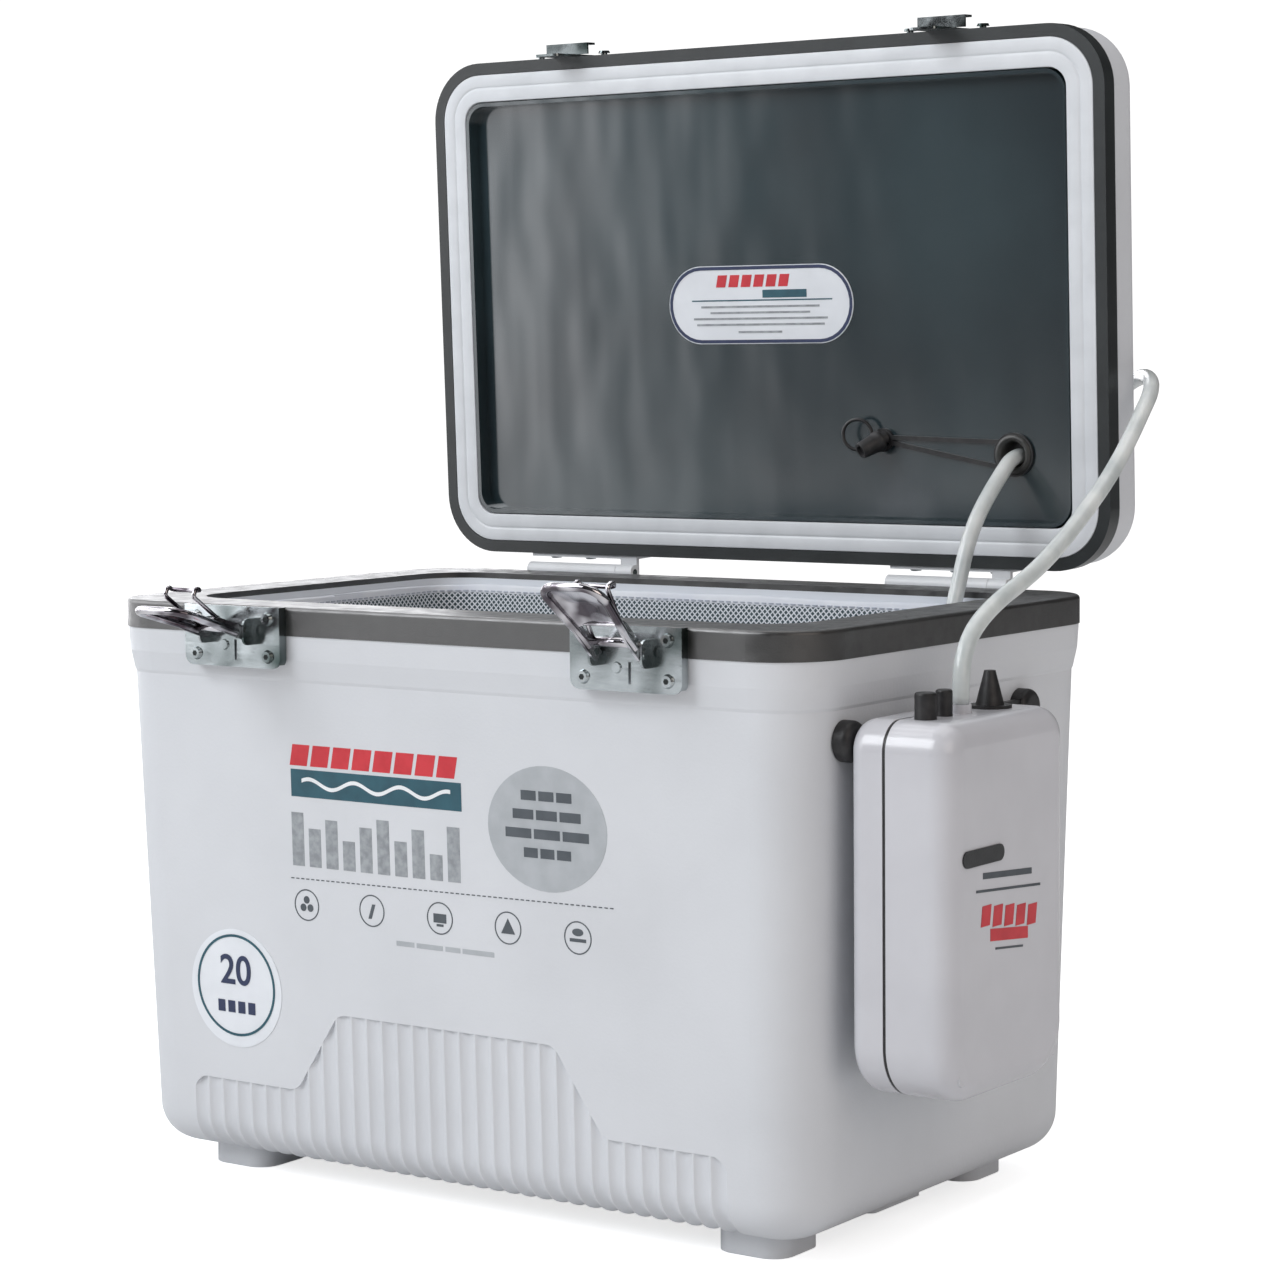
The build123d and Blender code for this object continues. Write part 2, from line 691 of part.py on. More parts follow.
foam_inset = COVER_INSET + COVER_WALL + FOAM_GAP
with BuildPart() as lid_foam:
    with BuildSketch(Plane.XY.offset(LID_TRIM_TOP + FOAM_GAP)):
        RectangleRounded(
            TUB_WIDTH - 2 * foam_inset,
            TUB_DEPTH - 2 * foam_inset,
            CORNER_R - foam_inset,
        )
    extrude(amount=COVER_H - COVER_WALL - 2 * FOAM_GAP)
    fillet(lid_foam.faces().sort_by(Axis.Z)[-1].edges(), COVER_R - COVER_WALL)
    with Locations((PORT_X, PORT_Y, COVER_TOP)):
        Cylinder(PORT_TUBE_R + PASS_GAP, 3 * COVER_H, mode=Mode.SUBTRACT)
write(opened(lid_foam.part), "lid_foam")

with BuildPart() as lid_label:
    with BuildSketch(Plane.XY.offset(PANEL_FACE - LABEL_T)):
        SlotOverall(LABEL_W, LABEL_D)
    extrude(amount=LABEL_T)
write(opened(lid_label.part), "lid_label")

with BuildPart() as port_grommet:
    with BuildSketch(Plane.XY.offset(PANEL_FACE - PORT_FLANGE_T)):
        with Locations((PORT_X, PORT_Y)):
            Circle(PORT_FLANGE_R - PORT_FLANGE_LIP)
    extrude(amount=PORT_FLANGE_T)
    with BuildSketch(Plane.XY.offset(PANEL_FACE)):
        with Locations((PORT_X, PORT_Y)):
            Circle(PORT_TUBE_R)
    extrude(amount=CROWN_TOP - PANEL_FACE)
    with BuildSketch(Plane.XY.offset(CROWN_TOP)):
        with Locations((PORT_X, PORT_Y)):
            Circle(PORT_FLANGE_R)
    extrude(amount=PORT_FLANGE_T)
    with Locations((PORT_X, PORT_Y, PANEL_FACE)):
        Cylinder(PORT_BORE_R, 90, mode=Mode.SUBTRACT)
write(opened(port_grommet.part), "port_grommet")

# ---- Keepers: folded plates on the lid's front edge that the claws pull on ----

with BuildPart() as keepers:
    for side in (-1, 1):
        with BuildSketch(Plane(origin=(side * LATCH_X, FRONT_Y, KEEPER_Z + KEEPER_H / 2), z_dir=(0, -1, 0))):
            RectangleRounded(KEEPER_W, KEEPER_H, 3)
        extrude(amount=KEEPER_T)
        with BuildSketch(Plane.YZ.offset(side * LATCH_X - KEEPER_LIP_W / 2)):
            with BuildLine():
                Polyline(
                    (KEEPER_FACE_Y, KEEPER_Z),
                    (KEEPER_FACE_Y - KEEPER_LIP_REACH, KEEPER_Z),
                    (KEEPER_FACE_Y - KEEPER_LIP_REACH, KEEPER_Z + KEEPER_LIP_H),
                    (KEEPER_FACE_Y - KEEPER_LIP_REACH + KEEPER_T, KEEPER_Z + KEEPER_LIP_H),
                    (KEEPER_FACE_Y - KEEPER_LIP_REACH + KEEPER_T, KEEPER_Z + KEEPER_T),
                    (KEEPER_FACE_Y, KEEPER_Z + KEEPER_T),
                    close=True,
                )
            make_face()
        extrude(amount=KEEPER_LIP_W)
    add(screw_holes(KEEPER_FRONT, KEEPER_SPOTS, KEEPER_SCREW_R, KEEPER_T), mode=Mode.SUBTRACT)
write(opened(keepers.part), "keepers")
write(
    opened(screws(KEEPER_FRONT, KEEPER_SPOTS, KEEPER_SCREW_R, KEEPER_SCREW_L, LEAF_SCREW_HEAD_R, LEAF_SCREW_HEAD_H)),
    "keeper_screws",
)

# ---- Port plug: hangs beside the port on a two-band strap ----

band_end = PORT_X - STRAP_SPREAD - STRAP_BAND_W / 2
with BuildPart() as plug_strap:
    with BuildSketch(Plane.XY.offset(PANEL_FACE - STRAP_T)):
        with Locations((PORT_X, PORT_Y)):
            Circle(PORT_FLANGE_R + STRAP_RING_W - 1.5 + PASS_GAP)
        with Locations((PLUG_X, PLUG_Y)):
            Circle(PLUG_NECK_R + STRAP_RING_W + PASS_GAP)
        for spread in (-1, 1):
            with BuildLine():
                Polyline(
                    (band_end, PORT_Y + spread * STRAP_SPREAD - STRAP_BAND_W / 2),
                    (band_end, PORT_Y + spread * STRAP_SPREAD + STRAP_BAND_W / 2),
                    (PLUG_X + PLUG_NECK_R, PLUG_Y + spread * STRAP_PINCH + STRAP_BAND_W / 2),
                    (PLUG_X + PLUG_NECK_R, PLUG_Y + spread * STRAP_PINCH - STRAP_BAND_W / 2),
                    close=True,
                )
            make_face()
        with Locations((PORT_X, PORT_Y)):
            Circle(PORT_FLANGE_R - PORT_FLANGE_LIP + PASS_GAP, mode=Mode.SUBTRACT)
        with Locations((PLUG_X, PLUG_Y)):
            Circle(PLUG_NECK_R + PASS_GAP, mode=Mode.SUBTRACT)
    extrude(amount=STRAP_T)
write(opened(plug_strap.part), "plug_strap")

plug_under = PANEL_FACE - STRAP_T - PASS_GAP
with BuildPart() as port_plug:
    with BuildSketch(Plane.XY.offset(plug_under)):
        with Locations((PLUG_X, PLUG_Y)):
            Circle(PLUG_NECK_R)
    extrude(amount=STRAP_T)
    with BuildSketch(Plane.XY.offset(plug_under)):
        with Locations((PLUG_X, PLUG_Y)):
            Circle(PLUG_R)
    extrude(amount=-PLUG_H, taper=PLUG_TAPER)
    with Locations((PLUG_X - PLUG_R - PLUG_RING_R + PLUG_RING_WIRE, PLUG_Y, plug_under - PLUG_RING_WIRE)):
        Torus(PLUG_RING_R, PLUG_RING_WIRE)
write(opened(port_plug.part), "port_plug")

# ---- Hinges: leaves, pins and screws, two hinges at the back ----

with BuildPart() as hinge_tub_leaves:
    for side in (-1, 1):
        left_end = side * HINGE_X - HINGE_LENGTH / 2
        with BuildSketch(Plane.YZ.offset(left_end)):
            with Locations((BACK_Y + LEAF_T / 2, TUB_LEAF_TOP - LEAF_H / 2)):
                Rectangle(LEAF_T, LEAF_H)
        extrude(amount=HINGE_LENGTH)
        with BuildSketch(Plane.YZ.offset(left_end)):
            with Locations((BACK_Y + HINGE_OFFSET / 2, TUB_LEAF_TOP - LEAF_ARM_T / 2)):
                Rectangle(HINGE_OFFSET, LEAF_ARM_T)
            with Locations((HINGE_Y, RIM_Z)):
                Circle(KNUCKLE_R)
                Circle(HINGE_PIN_R + HINGE_PIN_FIT, mode=Mode.SUBTRACT)
        extrude(amount=HINGE_LENGTH - HINGE_END - KNUCKLE_GAP)
    add(screw_holes(LEAF_BACK, TUB_LEAF_SPOTS, LEAF_SCREW_R, LEAF_T), mode=Mode.SUBTRACT)
write(hinge_tub_leaves.part, "hinge_tub_leaves")

with BuildPart() as hinge_lid_leaves:
    for side in (-1, 1):
        left_end = side * HINGE_X - HINGE_LENGTH / 2
        with BuildSketch(Plane.YZ.offset(left_end)):
            with Locations((BACK_Y + LEAF_T / 2, LID_LEAF_BOTTOM + LEAF_H / 2)):
                Rectangle(LEAF_T, LEAF_H)
        extrude(amount=HINGE_LENGTH)
        with BuildSketch(Plane.YZ.offset(left_end + HINGE_LENGTH - HINGE_END)):
            with Locations((BACK_Y + HINGE_OFFSET / 2, LID_LEAF_BOTTOM + LEAF_ARM_T / 2)):
                Rectangle(HINGE_OFFSET, LEAF_ARM_T)
            with Locations((HINGE_Y, RIM_Z)):
                Circle(KNUCKLE_R)
                Circle(HINGE_PIN_R + HINGE_PIN_FIT, mode=Mode.SUBTRACT)
        extrude(amount=HINGE_END)
    add(screw_holes(LEAF_BACK, LID_LEAF_SPOTS, LEAF_SCREW_R, LEAF_T), mode=Mode.SUBTRACT)
write(opened(hinge_lid_leaves.part), "hinge_lid_leaves")

with BuildPart() as hinge_pins:
    for side in (-1, 1):
        with BuildSketch(Plane.YZ.offset(side * HINGE_X - HINGE_LENGTH / 2)):
            with Locations((HINGE_Y, RIM_Z)):
                Circle(HINGE_PIN_R)
        extrude(amount=HINGE_LENGTH)
write(hinge_pins.part, "hinge_pins")
write(
    screws(LEAF_BACK, TUB_LEAF_SPOTS, LEAF_SCREW_R, LEAF_SCREW_L, LEAF_SCREW_HEAD_R, LEAF_SCREW_HEAD_H),
    "hinge_screws_tub",
)
write(
    opened(screws(LEAF_BACK, LID_LEAF_SPOTS, LEAF_SCREW_R, LEAF_SCREW_L, LEAF_SCREW_HEAD_R, LEAF_SCREW_HEAD_H)),
    "hinge_screws_lid",
)

# ---- Draw latches: plate, lever and claw, drawn locked and then opened to rest ----

hook_under = KEEPER_Z + KEEPER_LIP_H + HOOK_GAP

for name, centre, swing in (("left", -LATCH_X, LEVER_LEFT_SWING), ("right", LATCH_X, LEVER_RIGHT_SWING)):
    face = Plane(origin=(centre, PLATE_FACE_Y, PLATE_Z), x_dir=(1, 0, 0), z_dir=(0, -1, 0))
    lever_axis = Axis((centre, PIVOT_Y, PIVOT_Z), (1, 0, 0))
    claw_axis = Axis((centre, PIVOT_Y, CLAW_PIVOT_Z), (1, 0, 0))

    with BuildPart() as latch_plate:
        with BuildSketch(face) as outline:
            Rectangle(PLATE_W, PLATE_H)
            fillet(outline.vertices().group_by(Axis.Y)[0], PLATE_R)
        extrude(amount=-PLATE_STAND)
        with BuildSketch(face.offset(-PLATE_T)):
            Rectangle(PLATE_W - 2 * PLATE_T, PLATE_H + 2)
        extrude(amount=-PLATE_STAND, mode=Mode.SUBTRACT)
        with BuildSketch(face):
            with Locations((PLATE_SLOT_X, PLATE_SLOT_Z)):
                Rectangle(PLATE_SLOT_W, PLATE_SLOT_H)
            with Locations((RIVET_X, RIVET_Z)):
                Circle(RIVET_R + SCREW_FIT)
            with GridLocations(2 * LATCH_SCREW_X, 2 * LATCH_SCREW_Z, 2, 2):
                Circle(LATCH_SCREW_R + SCREW_FIT)
        extrude(amount=-PLATE_T, mode=Mode.SUBTRACT)
        for ear_start in (-LEVER_ROOT_W / 2 - LEVER_GAP - PLATE_T, LEVER_ROOT_W / 2 + LEVER_GAP):
            with BuildSketch(Plane.YZ.offset(centre + ear_start)):
                with Locations((PLATE_FACE_Y - EAR_REACH / 2, PIVOT_Z)):
                    RectangleRounded(EAR_REACH, EAR_H, EAR_R)
                with Locations((PLATE_FACE_Y - EAR_R / 2 + PLATE_T / 2, PIVOT_Z)):
                    Rectangle(EAR_R + PLATE_T, EAR_H)
                with Locations((PIVOT_Y, PIVOT_Z)):
                    Circle(PIVOT_R + PIVOT_FIT, mode=Mode.SUBTRACT)
            extrude(amount=PLATE_T)
    write(latch_plate.part, f"latch_plate_{name}")

    with BuildPart() as latch_lever:
        with BuildSketch(Plane.XZ.offset(-PIVOT_Y - LEVER_INNER)):
            with BuildLine() as lever_edge:
                Polyline(
                    (centre - LEVER_ROOT_W / 2, PIVOT_Z + LEVER_ROOT_BACK),
                    (centre - LEVER_ROOT_W / 2, PIVOT_Z - LEVER_FLARE_START),
                    (centre - LEVER_TIP_W / 2, PIVOT_Z - LEVER_FLARE_END),
                    (centre - LEVER_TIP_W / 2, PIVOT_Z - LEVER_LENGTH),
                    (centre + LEVER_TIP_W / 2, PIVOT_Z - LEVER_LENGTH),
                    (centre + LEVER_TIP_W / 2, PIVOT_Z - LEVER_FLARE_END),
                    (centre + LEVER_ROOT_W / 2, PIVOT_Z - LEVER_FLARE_START),
                    (centre + LEVER_ROOT_W / 2, PIVOT_Z + LEVER_ROOT_BACK),
                    close=True,
                )
            lever_face = make_face()
            fillet(lever_face.vertices().group_by(Axis.Y)[0], LEVER_TIP_R)
        extrude(amount=LEVER_INNER + LEVER_OUTER)
        fillet(latch_lever.faces().sort_by(Axis.Y)[0].edges().group_by(Axis.Z)[0], LEVER_WALL / 2)
        with BuildSketch(Plane.XZ.offset(-PIVOT_Y - LEVER_INNER)):
            with BuildLine():
                Polyline(
                    (centre - LEVER_ROOT_W / 2 + LEVER_WALL, PIVOT_Z + LEVER_ROOT_BACK),
                    (centre - LEVER_ROOT_W / 2 + LEVER_WALL, PIVOT_Z - LEVER_FLARE_START),
                    (centre - LEVER_TIP_W / 2 + LEVER_WALL, PIVOT_Z - LEVER_FLARE_END),
                    (centre - LEVER_TIP_W / 2 + LEVER_WALL, PIVOT_Z - LEVER_LENGTH + LEVER_WALL),
                    (centre + LEVER_TIP_W / 2 - LEVER_WALL, PIVOT_Z - LEVER_LENGTH + LEVER_WALL),
                    (centre + LEVER_TIP_W / 2 - LEVER_WALL, PIVOT_Z - LEVER_FLARE_END),
                    (centre + LEVER_ROOT_W / 2 - LEVER_WALL, PIVOT_Z - LEVER_FLARE_START),
                    (centre + LEVER_ROOT_W / 2 - LEVER_WALL, PIVOT_Z + LEVER_ROOT_BACK),
                    close=True,
                )
            pocket_face = make_face()
            fillet(pocket_face.vertices().group_by(Axis.Y)[0], LEVER_TIP_R - LEVER_WALL)
        extrude(amount=LEVER_INNER + LEVER_OUTER - LEVER_WEB, mode=Mode.SUBTRACT)
        with BuildSketch(Plane.XZ.offset(-PIVOT_Y)):
            with Locations((centre, PIVOT_Z + LEVER_ROOT_BACK - (LEVER_ROOT_BACK + LEVER_WEB_START) / 2)):
                Rectangle(LEVER_ROOT_W - 2 * LEVER_WALL, LEVER_ROOT_BACK + LEVER_WEB_START)
        extrude(amount=LEVER_OUTER + 1, mode=Mode.SUBTRACT)
        with BuildSketch(Plane.YZ.offset(centre - LEVER_TIP_W / 2)):
            with Locations((PIVOT_Y, PIVOT_Z)):
                Circle(PIVOT_R + PIVOT_FIT)
            with Locations((PIVOT_Y, CLAW_PIVOT_Z)):
                Circle(CLAW_PIN_R + SCREW_FIT)
        extrude(amount=LEVER_TIP_W, mode=Mode.SUBTRACT)
        with BuildSketch(Plane.YZ.offset(centre - LEVER_TIP_W / 2)) as side_view:
            with BuildLine():
                Polyline(
                    (PIVOT_Y - LEVER_OUTER, PIVOT_Z + LEVER_ROOT_BACK),
                    (PIVOT_Y + LEVER_INNER, PIVOT_Z + LEVER_ROOT_BACK),
                    (PIVOT_Y + LEVER_INNER, PIVOT_Z - LEVER_LENGTH),
                    (PIVOT_Y - LEVER_OUTER, PIVOT_Z - LEVER_LENGTH),
                    close=True,
                )
            make_face()
            fillet(side_view.vertices().sort_by(Axis.X)[-2:].sort_by(Axis.Y)[-1], LEVER_ROOT_R)
        extrude(amount=LEVER_TIP_W, mode=Mode.INTERSECT)
    write(latch_lever.part.rotate(lever_axis, -swing), f"latch_lever_{name}")

    with BuildPart() as claw_pin:
        with BuildSketch(Plane.YZ.offset(centre - LEVER_ROOT_W / 2)):
            with Locations((PIVOT_Y, CLAW_PIVOT_Z)):
                Circle(CLAW_PIN_R)
        extrude(amount=LEVER_ROOT_W)
    write(claw_pin.part.rotate(lever_axis, -swing), f"claw_pin_{name}")

    with BuildPart() as latch_claw:
        with BuildSketch(Plane.YZ.offset(centre - CLAW_W / 2)):
            with Locations((PIVOT_Y, CLAW_PIVOT_Z)):
                Circle(CLAW_BARREL_R)
            with BuildLine():
                Polyline(
                    (PIVOT_Y - CLAW_T / 2, CLAW_PIVOT_Z),
                    (PIVOT_Y - CLAW_T / 2, hook_under + CLAW_T),
                    (PIVOT_Y + CLAW_HOOK, hook_under + CLAW_T),
                    (PIVOT_Y + CLAW_HOOK, hook_under + CLAW_T - CLAW_RETURN),
                    (PIVOT_Y + CLAW_HOOK - CLAW_T, hook_under + CLAW_T - CLAW_RETURN),
                    (PIVOT_Y + CLAW_HOOK - CLAW_T, hook_under),
                    (PIVOT_Y + CLAW_T / 2, hook_under),
                    (PIVOT_Y + CLAW_T / 2, CLAW_PIVOT_Z),
                    close=True,
                )
            make_face()
            with Locations((PIVOT_Y, CLAW_PIVOT_Z)):
                Circle(CLAW_PIN_R + CLAW_PIN_FIT, mode=Mode.SUBTRACT)
        extrude(amount=CLAW_W)
    write(
        latch_claw.part.rotate(claw_axis, 180 - CLAW_LEAN).rotate(lever_axis, -swing),
        f"latch_claw_{name}",
    )

write(
    screws(
        LATCH_FRONT,
        LATCH_SCREW_SPOTS,
        LATCH_SCREW_R,
        LATCH_SCREW_L,
        LATCH_SCREW_HEAD_R,
        LATCH_SCREW_HEAD_H,
    ),
    "latch_screws",
)
write(
    screws(
        LATCH_FRONT,
        [(side * LATCH_X + RIVET_X, RIVET_Z) for side in (-1, 1)],
        RIVET_R,
        PLATE_T + RIVET_TAIL,
        RIVET_HEAD_R,
        RIVET_HEAD_H,
    ),
    "latch_rivets",
)

with BuildPart() as lever_pins:
    for side in (-1, 1):
        for end in (-1, 1):
            inner = side * LATCH_X + end * (LEVER_ROOT_W / 2 - LEVER_WALL)
            outer = side * LATCH_X + end * (LEVER_ROOT_W / 2 + LEVER_GAP + PLATE_T)
            with BuildSketch(Plane.YZ.offset(min(inner, outer))):
                with Locations((PIVOT_Y, PIVOT_Z)):
                    Circle(PIVOT_R)
            extrude(amount=abs(outer - inner))
            with BuildSketch(Plane.YZ.offset(outer)):
                with Locations((PIVOT_Y, PIVOT_Z)):
                    Circle(PIVOT_HEAD_R)
            extrude(amount=end * PIVOT_HEAD_T)
write(lever_pins.part, "lever_pins")

# ---- Pump hanger: a bar held off the right wall by two rubber knobs ----

wall_x = TUB_WIDTH / 2 - wall_inset(HANGER_Z)
knob_start = wall_x + WALL_GAP
bar_start = PUMP_BACK_X - CLIP_T - CLIP_BAR_GAP - HANGER_T

with BuildPart() as pump_hanger:
    with BuildSketch(Plane.YZ.offset(bar_start)):
        with Locations(((HANGER_FRONT_Y + HANGER_REAR_Y) / 2, HANGER_Z)):
            Rectangle(HANGER_REAR_Y - HANGER_FRONT_Y, HANGER_H)
    extrude(amount=HANGER_T)
write(pump_hanger.part, "pump_hanger")

with BuildPart() as hanger_knobs:
    for knob_y in (HANGER_FRONT_Y, HANGER_REAR_Y):
        with BuildSketch(Plane.YZ.offset(knob_start)):
            with Locations((knob_y, HANGER_Z)):
                Circle(KNOB_R)
        extrude(amount=KNOB_T)
    fillet(hanger_knobs.faces().group_by(Axis.X)[-1].edges(), KNOB_ROUND)
    with BuildSketch(Plane.YZ.offset(bar_start - PASS_GAP)):
        with Locations(((HANGER_FRONT_Y + HANGER_REAR_Y) / 2, HANGER_Z)):
            Rectangle(HANGER_REAR_Y - HANGER_FRONT_Y + 2 * PASS_GAP, HANGER_H + 2 * PASS_GAP)
    extrude(amount=HANGER_T + 2 * PASS_GAP, mode=Mode.SUBTRACT)
write(hanger_knobs.part, "hanger_knobs")

# ---- Air pump: two case halves with a seal line, hung by its clip ----


def pump_outline(x, inset):
    """The case's outline seen from the side, drawn at an X station."""
    with BuildSketch(Plane.YZ.offset(x)) as outline:
        with Locations((PUMP_Y, (PUMP_TOP_Z + PUMP_BOTTOM_Z) / 2)):
            Rectangle(PUMP_W - 2 * inset, PUMP_TOP_Z - PUMP_BOTTOM_Z - 2 * inset)
        fillet(outline.vertices().group_by(Axis.Y)[0], PUMP_BOTTOM_R - inset)
        fillet(outline.vertices().group_by(Axis.Y)[-1], PUMP_TOP_R - inset)
    return outline.sketch


def boss_spots():
    """Centres (y, z) of the four screw bosses."""
    half_w = PUMP_W / 2 - BOSS_INSET
    low = PUMP_BOTTOM_Z + BOSS_INSET
    high = PUMP_TOP_Z - BOSS_INSET
    return [(PUMP_Y + side * half_w, z) for side in (-1, 1) for z in (low, high)]


seam_back = PUMP_SEAM_X - PUMP_SEAM_T / 2
seam_front = PUMP_SEAM_X + PUMP_SEAM_T / 2
block_z = PUMP_INNER_TOP - BLOCK_DROP - BLOCK_H
motor_face_y = OUTLET_Y + ROD_T / 2 + ROD_CLEAR + CAM_T + SHAFT_NECK
cell_bottom = PUMP_BOTTOM_Z + PUMP_WALL + CONTACT_T + CONTACT_SPRING_H
cell_top = cell_bottom + CELL_L + CELL_NUB_H
bulkhead_z = cell_top + CONTACT_T + 2 * PASS_GAP
cell_centres = [PUMP_Y - CELL_R - CELL_GAP / 2, PUMP_Y + CELL_R + CELL_GAP / 2]

with BuildPart() as pump_back_shell:
    extrude(pump_outline(PUMP_BACK_X, 0), amount=seam_back - PUMP_BACK_X)
    fillet(pump_back_shell.faces().sort_by(Axis.X)[0].edges(), PUMP_BACK_R)
    extrude(
        pump_outline(PUMP_BACK_X + PUMP_WALL, PUMP_WALL + PUMP_BACK_R - BACK_R_INSIDE),
        amount=seam_back - PUMP_BACK_X - PUMP_WALL,
        mode=Mode.SUBTRACT,
    )
    with BuildSketch(Plane.YZ.offset(PUMP_BACK_X + PUMP_WALL / 2)):
        with Locations((PUMP_Y, bulkhead_z + BULKHEAD_T / 2)):
            Rectangle(PUMP_W - 4 * PUMP_WALL, BULKHEAD_T)
        with Locations((motor_face_y + MOTOR_L / 2, MOTOR_Z)):
            Rectangle(CRADLE_L, CRADLE_H)
    extrude(amount=PUMP_MID_X - PUMP_BACK_X - PUMP_WALL)
    with BuildSketch(Plane.XZ.offset(-motor_face_y)):
        with Locations((PUMP_MID_X, MOTOR_Z)):
            Circle(MOTOR_R + MOTOR_FIT)
    extrude(amount=-MOTOR_L, mode=Mode.SUBTRACT)
    with BuildSketch(Plane.YZ.offset(PUMP_BACK_X + PUMP_WALL / 2)):
        with Locations(*boss_spots()):
            Circle(BOSS_R)
    extrude(amount=seam_back - PUMP_BACK_X - PUMP_WALL / 2)
    with BuildSketch(Plane.YZ.offset(PUMP_BACK_X)):
        with Locations(*boss_spots()):
            Circle(PUMP_SCREW_R + SCREW_FIT)
    extrude(amount=seam_back - PUMP_BACK_X, mode=Mode.SUBTRACT)
    with BuildSketch(Plane.YZ.offset(PUMP_BACK_X)):
        with Locations(*boss_spots()):
            Circle(PUMP_SCREW_HEAD_R + SCREW_FIT)
    extrude(amount=PUMP_SCREW_HEAD_T + SCREW_FIT, mode=Mode.SUBTRACT)
write(pump_back_shell.part, "pump_back_shell")

with BuildPart() as pump_seal:
    extrude(pump_outline(seam_back, SEAL_INSET), amount=PUMP_SEAM_T)
    extrude(pump_outline(seam_back, SEAL_INSET + SEAL_W), amount=PUMP_SEAM_T, mode=Mode.SUBTRACT)
write(pump_seal.part, "pump_seal")

with BuildPart() as pump_front_shell:
    extrude(pump_outline(seam_front, 0), amount=PUMP_FRONT_X - seam_front)
    fillet(pump_front_shell.faces().sort_by(Axis.X)[-1].edges(), PUMP_FRONT_R)
    extrude(
        pump_outline(seam_front, PUMP_WALL),
        amount=PUMP_FRONT_X - seam_front - PUMP_FRONT_R,
        mode=Mode.SUBTRACT,
    )
    extrude(
        pump_outline(seam_front, PUMP_WALL + PUMP_FRONT_R - FRONT_R_INSIDE),
        amount=PUMP_FRONT_X - seam_front - PUMP_WALL,
        mode=Mode.SUBTRACT,
    )
    with BuildSketch(Plane.YZ.offset(seam_front)):
        with Locations(*boss_spots()):
            Circle(BOSS_R)
    extrude(amount=PUMP_FRONT_X - seam_front - PUMP_WALL / 2)
    with BuildSketch(Plane.YZ.offset(seam_front)):
        with Locations(*boss_spots()):
            Circle(PUMP_SCREW_R + SCREW_FIT)
    extrude(amount=PUMP_SCREW_BITE + 1, mode=Mode.SUBTRACT)
    with BuildSketch(Plane.XY.offset(PUMP_INNER_TOP)):
        with Locations((TOP_ROW_X, OUTLET_Y)):
            Circle(NIPPLE_R + PASS_GAP)
        with Locations((TOP_ROW_X, SWITCH_Y)):
            Circle(BUSH_R + PASS_GAP)
        with Locations((TOP_ROW_X, JACK_Y), (TOP_ROW_X, FILTER_Y)):
            Circle(PLUG_STEM_R + PASS_GAP)
    extrude(amount=PUMP_WALL, mode=Mode.SUBTRACT)
write(pump_front_shell.part, "pump_front_shell")

with BuildPart() as pump_screws:
    with BuildSketch(Plane.YZ.offset(PUMP_BACK_X)):
        with Locations(*boss_spots()):
            Circle(PUMP_SCREW_HEAD_R)
    extrude(amount=PUMP_SCREW_HEAD_T)
    with BuildSketch(Plane.YZ.offset(PUMP_BACK_X)):
        with Locations(*boss_spots()):
            Circle(PUMP_SCREW_R)
    extrude(amount=seam_front - PUMP_BACK_X + PUMP_SCREW_BITE)
write(pump_screws.part, "pump_screws")

clip_top = HANGER_Z + HANGER_H / 2 + CLIP_GAP + CLIP_T
clip_reach = PUMP_BACK_X - bar_start + CLIP_GAP + CLIP_T
with BuildPart() as pump_clip:
    with BuildSketch(Plane.XZ.offset(-PUMP_Y - CLIP_W / 2)):
        with BuildLine():
            Polyline(
                (PUMP_BACK_X, clip_top - CLIP_PLATE_H),
                (PUMP_BACK_X, clip_top),
                (PUMP_BACK_X - clip_reach, clip_top),
                (PUMP_BACK_X - clip_reach, clip_top - CLIP_DROP),
                (PUMP_BACK_X - clip_reach + CLIP_T, clip_top - CLIP_DROP),
                (PUMP_BACK_X - clip_reach + CLIP_T, clip_top - CLIP_T),
                (PUMP_BACK_X - CLIP_T, clip_top - CLIP_T),
                (PUMP_BACK_X - CLIP_T, clip_top - CLIP_PLATE_H),
                close=True,
            )
        make_face()
    extrude(amount=CLIP_W)
write(pump_clip.part, "pump_clip")

with BuildPart() as battery_cells:
    for cell_y in cell_centres:
        with BuildSketch(Plane.XY.offset(cell_bottom)):
            with Locations((PUMP_MID_X, cell_y)):
                Circle(CELL_R)
        extrude(amount=CELL_L)
        with BuildSketch(Plane.XY.offset(cell_bottom + CELL_L)):
            with Locations((PUMP_MID_X, cell_y)):
                Circle(CELL_NUB_R)
        extrude(amount=CELL_NUB_H)
write(battery_cells.part, "battery_cells")

with BuildPart() as battery_contacts:
    for cell_y in cell_centres:
        with BuildSketch(Plane.XY.offset(PUMP_BOTTOM_Z + PUMP_WALL)):
            with Locations((PUMP_MID_X, cell_y)):
                Circle(CONTACT_SPRING_R + CONTACT_LIP)
        extrude(amount=CONTACT_T)
        with BuildSketch(Plane.XY.offset(PUMP_BOTTOM_Z + PUMP_WALL + CONTACT_T)):
            with Locations((PUMP_MID_X, cell_y)):
                Circle(CONTACT_SPRING_R)
                Circle(CONTACT_SPRING_R - 1, mode=Mode.SUBTRACT)
        extrude(amount=CONTACT_SPRING_H)
    with BuildSketch(Plane.XY.offset(cell_top + PASS_GAP)):
        with Locations((PUMP_MID_X, PUMP_Y)):
            Rectangle(2 * CONTACT_SPRING_R, 2 * CELL_R + 2 * CELL_NUB_R)
    extrude(amount=CONTACT_T)
write(battery_contacts.part, "battery_contacts")

